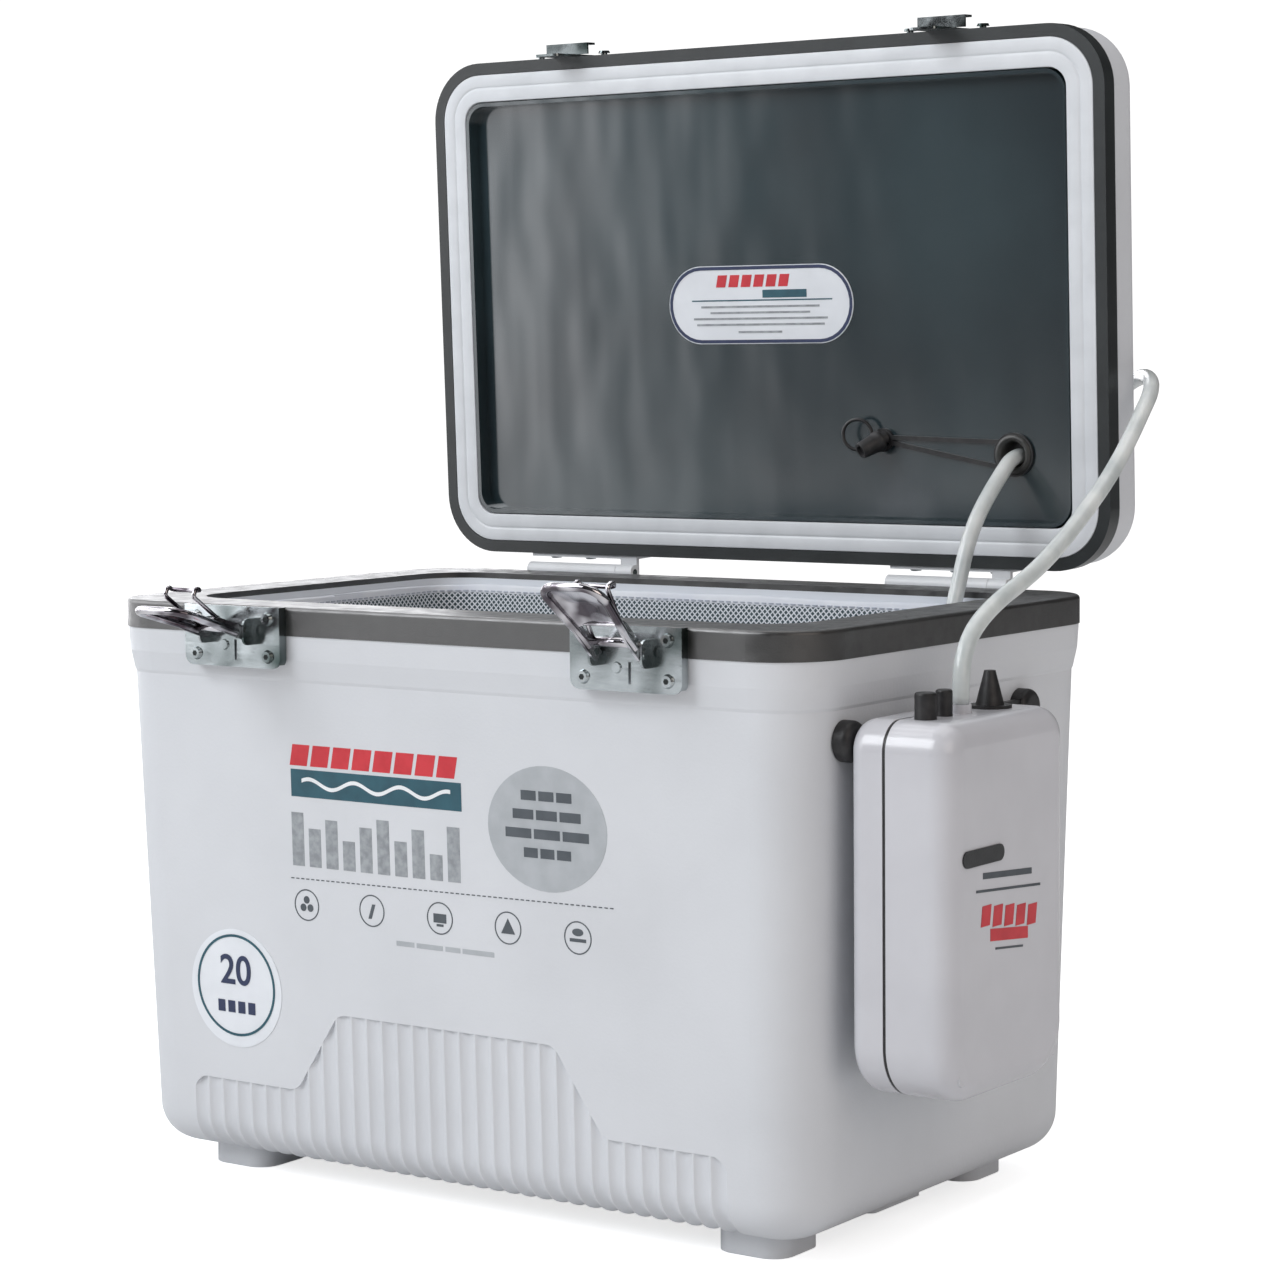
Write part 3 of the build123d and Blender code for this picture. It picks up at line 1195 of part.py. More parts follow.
with BuildPart() as pump_motor:
    with BuildSketch(Plane.XZ.offset(-motor_face_y)):
        with Locations((PUMP_MID_X, MOTOR_Z)):
            Circle(MOTOR_R)
            Circle(SHAFT_R + HINGE_PIN_FIT, mode=Mode.SUBTRACT)
    extrude(amount=-MOTOR_L)
write(pump_motor.part, "pump_motor")

cam_back_y = OUTLET_Y + ROD_T / 2 + ROD_CLEAR
with BuildPart() as motor_eccentric:
    with BuildSketch(Plane.XZ.offset(-cam_back_y)):
        with Locations((PUMP_MID_X, MOTOR_Z)):
            Circle(CAM_R)
    extrude(amount=-CAM_T)
    with BuildSketch(Plane.XZ.offset(-cam_back_y)):
        with Locations((PUMP_MID_X, MOTOR_Z)):
            Circle(SHAFT_R)
    extrude(amount=-CAM_T - SHAFT_NECK - MOTOR_L / 2)
    with BuildSketch(Plane.XZ.offset(-cam_back_y)):
        with Locations((PUMP_MID_X, MOTOR_Z + CAM_THROW)):
            Circle(CAM_PIN_R)
    extrude(amount=CAM_PIN_L)
write(motor_eccentric.part, "motor_eccentric")

rod_eye_hole = CAM_PIN_R + CAM_THROW + ROD_CLEAR
with BuildPart() as pump_rod:
    with BuildSketch(Plane.XZ.offset(-OUTLET_Y - ROD_T / 2)):
        with Locations((PUMP_MID_X, MOTOR_Z)):
            Circle(ROD_EYE_R)
        with Locations((PUMP_MID_X, (MOTOR_Z + block_z - DIAPHRAGM_H) / 2)):
            Rectangle(ROD_W, block_z - DIAPHRAGM_H - MOTOR_Z)
        with Locations((PUMP_MID_X, MOTOR_Z)):
            Circle(rod_eye_hole, mode=Mode.SUBTRACT)
    extrude(amount=ROD_T)
write(pump_rod.part, "pump_rod")

with BuildPart() as pump_diaphragm:
    with BuildSketch(Plane.XY.offset(block_z - DIAPHRAGM_H)):
        with Locations((PUMP_MID_X, OUTLET_Y)):
            Circle(ROD_EYE_R)
    extrude(amount=DIAPHRAGM_H / 2)
    with BuildSketch(Plane.XY.offset(block_z - DIAPHRAGM_H / 2)):
        with Locations((PUMP_MID_X, OUTLET_Y)):
            Circle(DIAPHRAGM_R)
    extrude(amount=DIAPHRAGM_H / 2)
write(pump_diaphragm.part, "pump_diaphragm")

with BuildPart() as valve_block:
    with BuildSketch(Plane.XY.offset(block_z)):
        with Locations((PUMP_MID_X, OUTLET_Y)):
            RectangleRounded(BLOCK_W, BLOCK_W, 3)
    extrude(amount=BLOCK_H)
write(valve_block.part, "valve_block")

with BuildPart() as air_outlet:
    with BuildSketch(Plane.XY.offset(block_z + BLOCK_H)):
        with Locations((TOP_ROW_X, OUTLET_Y)):
            Circle(NIPPLE_R)
    extrude(amount=PUMP_TOP_Z - block_z - BLOCK_H)
    with BuildSketch(Plane.XY.offset(PUMP_TOP_Z)):
        with Locations((TOP_ROW_X, OUTLET_Y)):
            Circle(NIPPLE_COLLAR_R)
    extrude(amount=NIPPLE_COLLAR_H)
write(air_outlet.part, "air_outlet")

toggle_pivot_z = PUMP_TOP_Z - TOGGLE_SINK
toggle_axis = Axis((TOP_ROW_X, SWITCH_Y, toggle_pivot_z), (1, 0, 0))
with BuildPart() as switch_body:
    with BuildSketch(Plane.XY.offset(PUMP_INNER_TOP - PASS_GAP)):
        with Locations((TOP_ROW_X, SWITCH_Y)):
            Rectangle(SWITCH_BODY_X, SWITCH_BODY_Y)
    extrude(amount=-SWITCH_BODY_H)
    with BuildSketch(Plane.XY.offset(PUMP_INNER_TOP - PASS_GAP)):
        with Locations((TOP_ROW_X, SWITCH_Y)):
            Circle(BUSH_R)
    extrude(amount=PUMP_WALL + PASS_GAP + BUSH_H)
    with BuildSketch(Plane.XY.offset(toggle_pivot_z - TOGGLE_BALL_R)):
        with Locations((TOP_ROW_X, SWITCH_Y)):
            Circle(TOGGLE_BALL_R + PIVOT_FIT)
    extrude(amount=PUMP_TOP_Z + BUSH_H - toggle_pivot_z + TOGGLE_BALL_R, mode=Mode.SUBTRACT)
write(switch_body.part, "switch_body")

with BuildPart() as toggle_lever:
    with Locations((TOP_ROW_X, SWITCH_Y, toggle_pivot_z)):
        Sphere(TOGGLE_BALL_R)
    with BuildSketch(Plane.XY.offset(toggle_pivot_z)):
        with Locations((TOP_ROW_X, SWITCH_Y)):
            Circle(TOGGLE_R)
    extrude(amount=TOGGLE_H)
write(toggle_lever.part.rotate(toggle_axis, TOGGLE_SWING), "toggle_lever")

with BuildPart() as switch_boot:
    with BuildSketch(Plane.XY.offset(PUMP_TOP_Z)):
        with Locations((TOP_ROW_X, SWITCH_Y)):
            Circle(BOOT_FLANGE_R)
    extrude(amount=BOOT_FLANGE_T)
    for foot_r, tip_r, lift, mode in (
        (BOOT_R, BOOT_TIP_R, BOOT_H, Mode.ADD),
        (BOOT_R - BOOT_WALL, BOOT_TIP_R - BOOT_WALL, BOOT_H - BOOT_WALL, Mode.SUBTRACT),
    ):
        with BuildSketch(Plane.XY.offset(PUMP_TOP_Z)):
            with Locations((TOP_ROW_X, SWITCH_Y)):
                Circle(foot_r)
        with BuildSketch(Plane.XY.offset(PUMP_TOP_Z + lift)):
            with Locations((TOP_ROW_X, SWITCH_Y)):
                Circle(tip_r)
        loft(mode=mode)
write(switch_boot.part, "switch_boot")

for name, spot_y, cap_r in (("jack_cap", JACK_Y, JACK_R), ("inlet_filter", FILTER_Y, FILTER_R)):
    with BuildPart() as cap:
        with BuildSketch(Plane.XY.offset(PUMP_INNER_TOP)):
            with Locations((TOP_ROW_X, spot_y)):
                Circle(PLUG_STEM_R)
        extrude(amount=PUMP_WALL)
        with BuildSketch(Plane.XY.offset(PUMP_TOP_Z)):
            with Locations((TOP_ROW_X, spot_y)):
                Circle(cap_r)
        extrude(amount=CAP_H)
        fillet(cap.faces().sort_by(Axis.Z)[-1].edges(), CAP_EDGE_R)
    write(cap.part, name)

with BuildPart() as pump_badge:
    with BuildSketch(Plane.YZ.offset(PUMP_FRONT_X)):
        with Locations((BADGE_Y, BADGE_Z)):
            SlotOverall(BADGE_W, BADGE_H)
    extrude(amount=BADGE_T)
write(pump_badge.part, "pump_badge")

# ---- Air hose: pump outlet, round the lid's edge, in through the port, down to the stone ----

HOSE_ROUTE = [
    (TOP_ROW_X, OUTLET_Y, PUMP_TOP_Z + NIPPLE_COLLAR_H),
    (246.0, OUTLET_Y, 271.0),
    (246.0, -55.8, 283.6),
    (246.0, -45.5, 292.0),
    (245.5, -27.1, 300.0),
    (244.5, -3.8, 306.7),
    (243.0, 18.4, 313.7),
    (242.0, 40.2, 323.2),
    (241.0, 59.8, 333.2),
    (240.0, 82.4, 345.6),
    (238.5, 102.0, 357.5),
    (236.5, 121.0, 370.5),
    (234.0, 138.0, 382.5),
    (231.0, 152.3, 390.5),
    (225.0, 166.0, 396.5),
    (215.5, 179.0, 399.5),
    (203.0, 193.0, 398.5),
    (188.0, 204.0, 392.0),
    (172.0, 208.0, 381.0),
    (160.0, 201.0, 369.5),
    (154.0, 187.0, 361.6),
    (154.0, 168.0, 360.2),
    (154.0, 149.5, 358.2),
    (154.0, 141.0, 352.2),
    (153.5, 127.4, 341.0),
    (153.0, 115.2, 329.2),
    (152.5, 106.6, 316.1),
    (152.0, 101.5, 303.4),
    (151.5, 97.5, 292.0),
    (151.0, 92.5, 280.0),
    (149.0, 83.5, 252.0),
    (145.0, 75.5, 218.0),
    (137.0, 65.0, 186.0),
    (120.0, 52.0, 150.0),
    (92.0, 34.0, 112.0),
    (66.0, 20.0, 84.0),
    (42.0, 11.0, 69.0),
    (22.0, 8.0, 69.0),
]


def route_radii(points):
    """One arc radius for each inner point of a route, as large as its two runs allow."""
    radii = []
    for before, here, after in zip(points, points[1:], points[2:]):
        run_in = Vector(*here) - Vector(*before)
        run_out = Vector(*after) - Vector(*here)
        turn = radians(run_in.get_angle(run_out))
        radii.append(0.45 * min(run_in.length, run_out.length) / tan(turn / 2))
    return radii


hose_radii = route_radii(HOSE_ROUTE)
print("hose radii", [round(r) for r in hose_radii])
with BuildPart() as air_hose:
    with BuildLine() as hose_path:
        FilletPolyline(*HOSE_ROUTE, radius=hose_radii)
    with BuildSketch(Plane(origin=hose_path.line @ 0, z_dir=hose_path.line % 0)):
        Circle(HOSE_R)
    sweep()
hose_length = sum(edge.length for edge in hose_path.edges())
print("hose length", round(hose_length, 1), "volume", round(air_hose.part.volume))
print("section times length", round(pi * HOSE_R**2 * hose_length))
write(air_hose.part, "air_hose")

stone_plane = Plane(origin=hose_path.line @ 1, z_dir=hose_path.line % 1)
with BuildPart() as air_stone:
    with BuildSketch(stone_plane):
        Circle(STONE_NECK_R)
    extrude(amount=STONE_NECK_L)
    with BuildSketch(stone_plane.offset(STONE_NECK_L)):
        Circle(STONE_R)
    extrude(amount=STONE_L)
write(air_stone.part, "air_stone")
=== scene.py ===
from math import cos, pi, radians, sin

import bmesh
import bpy
import numpy as np
from mathutils import Matrix, Vector, noise


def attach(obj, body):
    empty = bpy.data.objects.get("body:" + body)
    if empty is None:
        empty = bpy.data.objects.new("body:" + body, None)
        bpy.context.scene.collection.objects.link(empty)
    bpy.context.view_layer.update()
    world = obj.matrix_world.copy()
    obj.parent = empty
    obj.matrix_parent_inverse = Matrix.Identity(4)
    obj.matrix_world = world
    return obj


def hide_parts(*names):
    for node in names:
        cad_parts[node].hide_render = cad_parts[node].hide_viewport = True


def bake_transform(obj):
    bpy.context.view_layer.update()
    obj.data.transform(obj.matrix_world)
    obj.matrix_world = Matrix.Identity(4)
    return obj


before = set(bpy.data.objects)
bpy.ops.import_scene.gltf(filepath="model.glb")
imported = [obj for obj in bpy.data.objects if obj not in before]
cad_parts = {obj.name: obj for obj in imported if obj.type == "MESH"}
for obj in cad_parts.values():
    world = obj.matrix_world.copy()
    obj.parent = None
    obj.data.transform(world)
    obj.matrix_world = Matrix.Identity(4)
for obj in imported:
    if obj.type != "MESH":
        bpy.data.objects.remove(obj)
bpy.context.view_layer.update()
scene = bpy.context.scene
scene.view_settings.view_transform = "Standard"
MM = 0.001

# ---- Camera: stands to the right of the front, a little above the rim, looking slightly down ----
# The long lens keeps the box's sides nearly parallel. The frame is square.

CAMERA_PLACE = Vector((0.99906, -1.36326, 0.4173))
CAMERA_YAW = radians(35.53)
CAMERA_PITCH = radians(-5.01)
CAMERA_ROLL = radians(-0.53)
CAMERA_LENS = 94.46
CAMERA_SENSOR = 36.0

camera_data = bpy.data.cameras.new("camera")
camera_data.lens = CAMERA_LENS
camera_data.sensor_width = CAMERA_SENSOR
camera = bpy.data.objects.new("camera", camera_data)
scene.collection.objects.link(camera)
scene.camera = camera
forward = Vector(
    (-sin(CAMERA_YAW) * cos(CAMERA_PITCH), cos(CAMERA_YAW) * cos(CAMERA_PITCH), sin(CAMERA_PITCH))
)
level_right = forward.cross(Vector((0, 0, 1))).normalized()
level_up = level_right.cross(forward)
picture_right = level_right * cos(CAMERA_ROLL) + level_up * sin(CAMERA_ROLL)
picture_up = -level_right * sin(CAMERA_ROLL) + level_up * cos(CAMERA_ROLL)
turn = Matrix((picture_right, picture_up, -forward)).transposed()
camera.matrix_world = Matrix.Translation(CAMERA_PLACE) @ turn.to_4x4()

# ---- Air hose: 8 mm soft silicone tube, milky and a little translucent ----
# It leaves the pump's nipple, climbs past the rim, goes round the open lid's edge, comes in through
# the port and hangs down into the tub to the air stone.

HOSE_DIAMETER = 0.008
HOSE_SIDES = 20
HOSE_STEPS = 8
HOSE_ROUTE_MM = [
    (246.0, -62.0, 256.0),
    (246.0, -62.0, 271.0),
    (246.0, -55.8, 283.6),
    (246.0, -45.5, 292.0),
    (245.5, -27.1, 300.0),
    (244.5, -3.8, 306.7),
    (243.0, 18.4, 313.7),
    (242.0, 40.2, 323.2),
    (241.0, 59.8, 333.2),
    (240.0, 82.4, 345.6),
    (238.5, 102.0, 357.5),
    (236.5, 121.0, 370.5),
    (234.0, 138.0, 382.5),
    (231.0, 152.3, 390.5),
    (225.0, 166.0, 396.5),
    (215.5, 179.0, 399.5),
    (203.0, 193.0, 398.5),
    (188.0, 204.0, 392.0),
    (172.0, 208.0, 381.0),
    (160.0, 201.0, 369.5),
    (154.0, 187.0, 361.6),
    (154.0, 168.0, 360.2),
    (154.0, 149.5, 358.2),
    (154.0, 141.0, 352.2),
    (153.5, 127.4, 341.0),
    (153.0, 115.2, 329.2),
    (152.5, 106.6, 316.1),
    (152.0, 101.5, 303.4),
    (151.5, 97.5, 292.0),
    (151.0, 92.5, 280.0),
    (149.0, 83.5, 252.0),
    (145.0, 75.5, 218.0),
    (137.0, 65.0, 186.0),
    (120.0, 52.0, 150.0),
    (92.0, 34.0, 112.0),
    (66.0, 20.0, 84.0),
    (42.0, 11.0, 69.0),
    (22.0, 8.0, 69.0),
]


def spline_points(route, resolution):
    """The points of a smooth NURBS line through a route's control points, in metres."""
    curve = bpy.data.curves.new("route", "CURVE")
    curve.dimensions = "3D"
    curve.resolution_u = resolution
    spline = curve.splines.new("NURBS")
    spline.points.add(len(route) - 1)
    for point, place in zip(spline.points, route):
        point.co = (*place, 1.0)
    spline.order_u = 3
    spline.use_endpoint_u = True
    holder = bpy.data.objects.new("route", curve)
    mesh = bpy.data.meshes.new_from_object(holder)
    points = [v.co.copy() for v in mesh.vertices]
    bpy.data.objects.remove(holder)
    bpy.data.curves.remove(curve)
    bpy.data.meshes.remove(mesh)
    return points


def closed_mesh(name, bm):
    """The mesh of a closed bmesh, with its faces turned outwards."""
    bmesh.ops.recalc_face_normals(bm, faces=bm.faces)
    mesh = bpy.data.meshes.new(name)
    bm.to_mesh(mesh)
    bm.free()
    return mesh


def tube_mesh(name, points, radius, sides, closed=False):
    """A round tube along points. Its ends are capped, or it closes on itself."""
    count = len(points)
    bm = bmesh.new()
    rings = []
    side_way = None
    for i, point in enumerate(points):
        ahead = points[(i + 1) % count] if closed else points[min(i + 1, count - 1)]
        behind = points[i - 1] if closed else points[max(i - 1, 0)]
        along = (ahead - behind).normalized()
        if side_way is None:
            side_way = along.orthogonal().normalized()
        side_way = (side_way - along * side_way.dot(along)).normalized()
        across = along.cross(side_way)
        ring = []
        for k in range(sides):
            angle = 2 * pi * k / sides
            ring.append(bm.verts.new(point + radius * (cos(angle) * side_way + sin(angle) * across)))
        rings.append(ring)
    for i in range(count if closed else count - 1):
        here, there = rings[i], rings[(i + 1) % count]
        for k in range(sides):
            bm.faces.new((here[k], here[(k + 1) % sides], there[(k + 1) % sides], there[k]))
    if not closed:
        bm.faces.new(list(reversed(rings[0])))
        bm.faces.new(rings[-1])
    return closed_mesh(name, bm)


def add_piece(name, mesh, material, smooth=True):
    """Link a mesh to the scene as a named piece with one material."""
    piece = bpy.data.objects.new(name, mesh)
    scene.collection.objects.link(piece)
    mesh.materials.clear()
    mesh.materials.append(material)
    for polygon in mesh.polygons:
        polygon.use_smooth = smooth
    return piece


def screen(red, green, blue):
    """A colour as it reads on screen, from 0 to 255, as the linear value that a shader takes."""
    linear = [((c / 255 + 0.055) / 1.055) ** 2.4 if c > 10 else c / 255 / 12.92 for c in (red, green, blue)]
    return (*linear, 1)


def new_material(name, colour, roughness, metallic=0.0, specular=0.5):
    """A Principled material and its shader node."""
    material = bpy.data.materials.new(name)
    material.use_nodes = True
    shader = material.node_tree.nodes["Principled BSDF"]
    shader.inputs["Base Color"].default_value = colour
    shader.inputs["Roughness"].default_value = roughness
    shader.inputs["Metallic"].default_value = metallic
    shader.inputs["Specular IOR Level"].default_value = specular
    return material, shader


def grain(material, shader, size, depth, detail=2.0, stretch=(1, 1, 1)):
    """Fine moulded grain: a bump from noise whose cells are size metres wide."""
    nodes, links = material.node_tree.nodes, material.node_tree.links
    place = nodes.new("ShaderNodeTexCoord")
    mapping = nodes.new("ShaderNodeMapping")
    mapping.inputs["Scale"].default_value = stretch
    texture = nodes.new("ShaderNodeTexNoise")
    texture.inputs["Scale"].default_value = 1 / size
    texture.inputs["Detail"].default_value = detail
    bump = nodes.new("ShaderNodeBump")
    bump.inputs["Distance"].default_value = depth
    bump.inputs["Strength"].default_value = 1.0
    links.new(place.outputs["Object"], mapping.inputs["Vector"])
    links.new(mapping.outputs["Vector"], texture.inputs["Vector"])
    links.new(texture.outputs["Fac"], bump.inputs["Height"])
    links.new(bump.outputs["Normal"], shader.inputs["Normal"])


def mottle(material, shader, low, high, size, socket="Base Color", detail=3.0, span=(0.35, 0.65)):
    """Slow change over the surface between two values, in colour or roughness."""
    nodes, links = material.node_tree.nodes, material.node_tree.links
    place = nodes.new("ShaderNodeTexCoord")
    texture = nodes.new("ShaderNodeTexNoise")
    texture.inputs["Scale"].default_value = 1 / size
    texture.inputs["Detail"].default_value = detail
    links.new(place.outputs["Object"], texture.inputs["Vector"])
    ramp = nodes.new("ShaderNodeValToRGB")
    ramp.color_ramp.elements[0].position = span[0]
    ramp.color_ramp.elements[1].position = span[1]
    if socket == "Base Color":
        ramp.color_ramp.elements[0].color = low
        ramp.color_ramp.elements[1].color = high
    else:
        ramp.color_ramp.elements[0].color = (low, low, low, 1)
        ramp.color_ramp.elements[1].color = (high, high, high, 1)
    links.new(texture.outputs["Fac"], ramp.inputs["Fac"])
    links.new(ramp.outputs["Color"], shader.inputs[socket])


def finish_nodes(material, slot_name, *nodes):
    """Give CAD nodes their finish; the slot name is not used."""
    for name in nodes:
        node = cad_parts[name]
        node.data.materials.clear()
        node.data.materials.append(material)


silicone, silicone_shader = new_material("milky_silicone", screen(205, 209, 208), 0.28)
silicone_shader.inputs["Subsurface Weight"].default_value = 0.35
silicone_shader.inputs["Subsurface Radius"].default_value = (0.004, 0.004, 0.0035)
silicone_shader.inputs["Subsurface Scale"].default_value = 1.0
silicone_shader.inputs["Coat Weight"].default_value = 0.25
silicone_shader.inputs["Coat Roughness"].default_value = 0.15
mottle(silicone, silicone_shader, screen(188, 194, 194), screen(216, 219, 218), 0.02)
grain(silicone, silicone_shader, 0.0035, 0.00006)

hose_line = spline_points([Vector(p) * MM for p in HOSE_ROUTE_MM], HOSE_STEPS)
air_hose = add_piece("hose", tube_mesh("hose", hose_line, HOSE_DIAMETER / 2, HOSE_SIDES), silicone)
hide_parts("air_hose")
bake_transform(air_hose)

# ---- Air stone: a short rod of bonded grit, through which the air bubbles out ----
# The hose's end is pushed over its neck. It is heavy enough to keep the end on the net's floor.

grit, grit_shader = new_material("bonded_grit", screen(120, 138, 160), 0.95)
mottle(grit, grit_shader, screen(88, 104, 128), screen(150, 165, 182), 0.0012)
grain(grit, grit_shader, 0.0012, 0.0006)
finish_nodes(grit, "stone", "air_stone")

# ---- Tub: outer shell, foam core, inner liner and grey rim trim ----
# The shell is blow-moulded polyethylene with a faint orange-peel skin, on four feet. The trim is
# matt grey plastic that clips over the shell's and the liner's edges.

shell_white, shell_shader = new_material("off_white_polyethylene", screen(208, 210, 214), 0.4)
mottle(shell_white, shell_shader, screen(205, 207, 211), screen(211, 213, 217), 0.09)
grain(shell_white, shell_shader, 0.0016, 0.00008)
finish_nodes(shell_white, "shell_white", "tub_shell", "lid_cover")

foam_cream, foam_shader = new_material("foam_cream", screen(232, 220, 180), 0.95)
mottle(foam_cream, foam_shader, screen(222, 208, 164), screen(238, 228, 192), 0.003)
grain(foam_cream, foam_shader, 0.0015, 0.0004)
finish_nodes(foam_cream, "foam", "tub_foam", "lid_foam")

liner_white, liner_shader = new_material("liner_white", screen(216, 220, 226), 0.3)
grain(liner_white, liner_shader, 0.003, 0.00005)
finish_nodes(liner_white, "liner_white", "tub_liner")

trim_grey, trim_shader = new_material("trim_grey", screen(34, 33, 32), 0.36, specular=1.0)
trim_shader.inputs["IOR"].default_value = 1.6
mottle(trim_grey, trim_shader, screen(30, 29, 28), screen(39, 38, 37), 0.015)
mottle(trim_grey, trim_shader, 0.3, 0.46, 0.008, socket="Roughness")
grain(trim_grey, trim_shader, 0.0009, 0.00007)
finish_nodes(trim_grey, "trim_grey", "tub_trim")

# ---- Net bag: fine white mesh bag that hangs in the liner from a stiff sewn hem ----
# The hem stands on the liner's ledge. One sewn tab joins its ends on the left side.

HEM_WIDTH = 0.3644
HEM_DEPTH = 0.2144
HEM_CORNER = 0.0257
HEM_LOW = 0.2695
HEM_HIGH = 0.286
HEM_THICK = 0.0042
HEM_GAP = 0.0002
BAG_TOP = 0.2812
BAG_TOP_WIDTH = 0.3550
BAG_TOP_DEPTH = 0.2050
BAG_CORNER = 0.022
BAG_TAPER = 0.012
BAG_FLOOR = 0.0610
BAG_FLOOR_ROUND = 0.014
BAG_ROWS = 34
BAG_PITCH = 0.0033
BAG_SLACK = 0.0022
BAG_SLACK_PACE = 1.15
BAG_SLACK_END = 0.87
BAG_WAVES = 22
BAG_WAVES_DOWN = 9
BAG_SAG = 0.0006
BAG_SAG_WAVES = 30
HEM_WAVES = 18
HEM_SWELL = 0.12
HEM_RIPPLE = 0.0012
HOLE_EDGE = (0.12, 0.2)
THREAD_RISE = 0.0006
RIM_STEP = 0.006
CORNER_STEPS = 16


def rounded_ring(width, depth, corner, step):
    """Points round a rounded rectangle, from its right side on, evenly spaced by about step."""
    half_x, half_y = width / 2 - corner, depth / 2 - corner
    corners = ((half_x, half_y, 0), (-half_x, half_y, 90), (-half_x, -half_y, 180), (half_x, -half_y, 270))
    path = []
    for centre_x, centre_y, start in corners:
        for k in range(CORNER_STEPS + 1):
            angle = radians(start + 90 * k / CORNER_STEPS)
            path.append(Vector((centre_x + corner * cos(angle), centre_y + corner * sin(angle), 0)))
    path.append(path[0].copy())
    lengths = np.concatenate(([0.0], np.cumsum([(b - a).length for a, b in zip(path, path[1:])])))
    xs, ys = [p.x for p in path], [p.y for p in path]
    spots = np.linspace(0, lengths[-1], int(lengths[-1] / step), endpoint=False)
    return [Vector((np.interp(s, lengths, xs), np.interp(s, lengths, ys), 0)) for s in spots]


def ring_normals(ring):
    """The outward way at each point of a ring that runs anticlockwise."""
    count = len(ring)
    along = [(ring[(i + 1) % count] - ring[i - 1]).normalized() for i in range(count)]
    return [way.cross(Vector((0, 0, 1))).normalized() for way in along]


def looped_mesh(name, rows):
    """A closed ring from rows of points: one row is the ring's section at one place."""
    bm = bmesh.new()
    made = [[bm.verts.new(point) for point in row] for row in rows]
    for i, here in enumerate(made):
        there = made[(i + 1) % len(made)]
        for k in range(len(here)):
            m = (k + 1) % len(here)
            bm.faces.new((here[k], there[k], there[m], here[m]))
    return closed_mesh(name, bm)


net_white, net_shader = new_material("net_white", screen(222, 226, 233), 0.7)
net_nodes, net_links = net_white.node_tree.nodes, net_white.node_tree.links
net_uv = net_nodes.new("ShaderNodeUVMap")
net_uv.uv_map = "weave"
net_split = net_nodes.new("ShaderNodeSeparateXYZ")
net_links.new(net_uv.outputs["UV"], net_split.inputs["Vector"])


def math_step(nodes, links, operation, first, second):
    """One Math node. Each input is a socket or a number."""
    node = nodes.new("ShaderNodeMath")
    node.operation = operation
    for socket, value in zip(node.inputs, (first, second)):
        if isinstance(value, (int, float)):
            socket.default_value = value
        else:
            links.new(value, socket)
    return node.outputs["Value"]


def soft_step(nodes, links, value, low, high):
    """Zero below low, one above high, smooth between."""
    node = nodes.new("ShaderNodeMapRange")
    node.interpolation_type = "SMOOTHSTEP"
    node.inputs["From Min"].default_value = low
    node.inputs["From Max"].default_value = high
    links.new(value, node.inputs["Value"])
    return node.outputs["Result"]


diagonals = []
for operation in ("ADD", "SUBTRACT"):
    way = math_step(net_nodes, net_links, operation, net_split.outputs["X"], net_split.outputs["Y"])
    count = math_step(net_nodes, net_links, "MULTIPLY", way, 1 / BAG_PITCH)
    wave = math_step(net_nodes, net_links, "PINGPONG", count, 0.5)
    diagonals.append(soft_step(net_nodes, net_links, wave, *HOLE_EDGE))
hole = math_step(net_nodes, net_links, "MULTIPLY", *diagonals)
# The holes are drawn in colour on an opaque sheet. Their dark teal-grey is painted shade: the shaded liner
# seen through the holes.
net_hole_shade_mix = net_nodes.new("ShaderNodeMix")
net_hole_shade_mix.data_type = "RGBA"
net_hole_shade_mix.inputs["A"].default_value = screen(222, 226, 233)
net_hole_shade_mix.inputs["B"].default_value = screen(62, 78, 84)
net_links.new(hole, net_hole_shade_mix.inputs["Factor"])
net_links.new(net_hole_shade_mix.outputs["Result"], net_shader.inputs["Base Color"])
net_bump = net_nodes.new("ShaderNodeBump")
net_bump.inputs["Distance"].default_value = THREAD_RISE
net_bump.invert = True
net_links.new(hole, net_bump.inputs["Height"])
net_links.new(net_bump.outputs["Normal"], net_shader.inputs["Normal"])

bag_rings = []
bag_height = BAG_TOP - BAG_FLOOR
for row in range(BAG_ROWS + 1):
    share = row / BAG_ROWS
    arc_share = BAG_FLOOR_ROUND * pi / 2 / (bag_height + BAG_FLOOR_ROUND * (pi / 2 - 1))
    if share < 1 - arc_share:
        z = BAG_TOP - share / (1 - arc_share) * (bag_height - BAG_FLOOR_ROUND)
        inset = 0.0
    else:
        turn_angle = (share - 1 + arc_share) / arc_share * pi / 2
        z = BAG_FLOOR + BAG_FLOOR_ROUND * (1 - sin(turn_angle))
        inset = BAG_FLOOR_ROUND * (1 - cos(turn_angle))
    taper = BAG_TAPER * (BAG_TOP - z) / (BAG_TOP - BAG_FLOOR)
    bag_rings.append((z, max(taper, 0.0) + inset))
top_ring = rounded_ring(BAG_TOP_WIDTH, BAG_TOP_DEPTH, BAG_CORNER, RIM_STEP)
top_normals = ring_normals(top_ring)
ring_count = len(top_ring)
bag_length = sum((top_ring[(i + 1) % ring_count] - top_ring[i]).length for i in range(ring_count))
bag_bm = bmesh.new()
weave = bag_bm.loops.layers.uv.new("weave")
bag_rows = []
bag_down = [0.0]
for row, (z, inset) in enumerate(bag_rings):
    verts = []
    share = row / BAG_ROWS
    for point, normal in zip(top_ring, top_normals):
        ease = sin(pi * min(share * BAG_SLACK_PACE, 1.0)) ** 0.6 if 0 < share < BAG_SLACK_END else 0.0
        spot = Vector((point.x * BAG_WAVES, point.y * BAG_WAVES, z * BAG_WAVES_DOWN))
        slack = BAG_SLACK * ease * (0.6 + noise.noise(spot))
        place = point - normal * (inset + max(slack, 0.0))
        verts.append(bag_bm.verts.new((place.x, place.y, z)))
    bag_rows.append(verts)
    if row:
        bag_down.append(bag_down[-1] + (verts[0].co - bag_rows[row - 1][0].co).length)
around = bag_length / ring_count
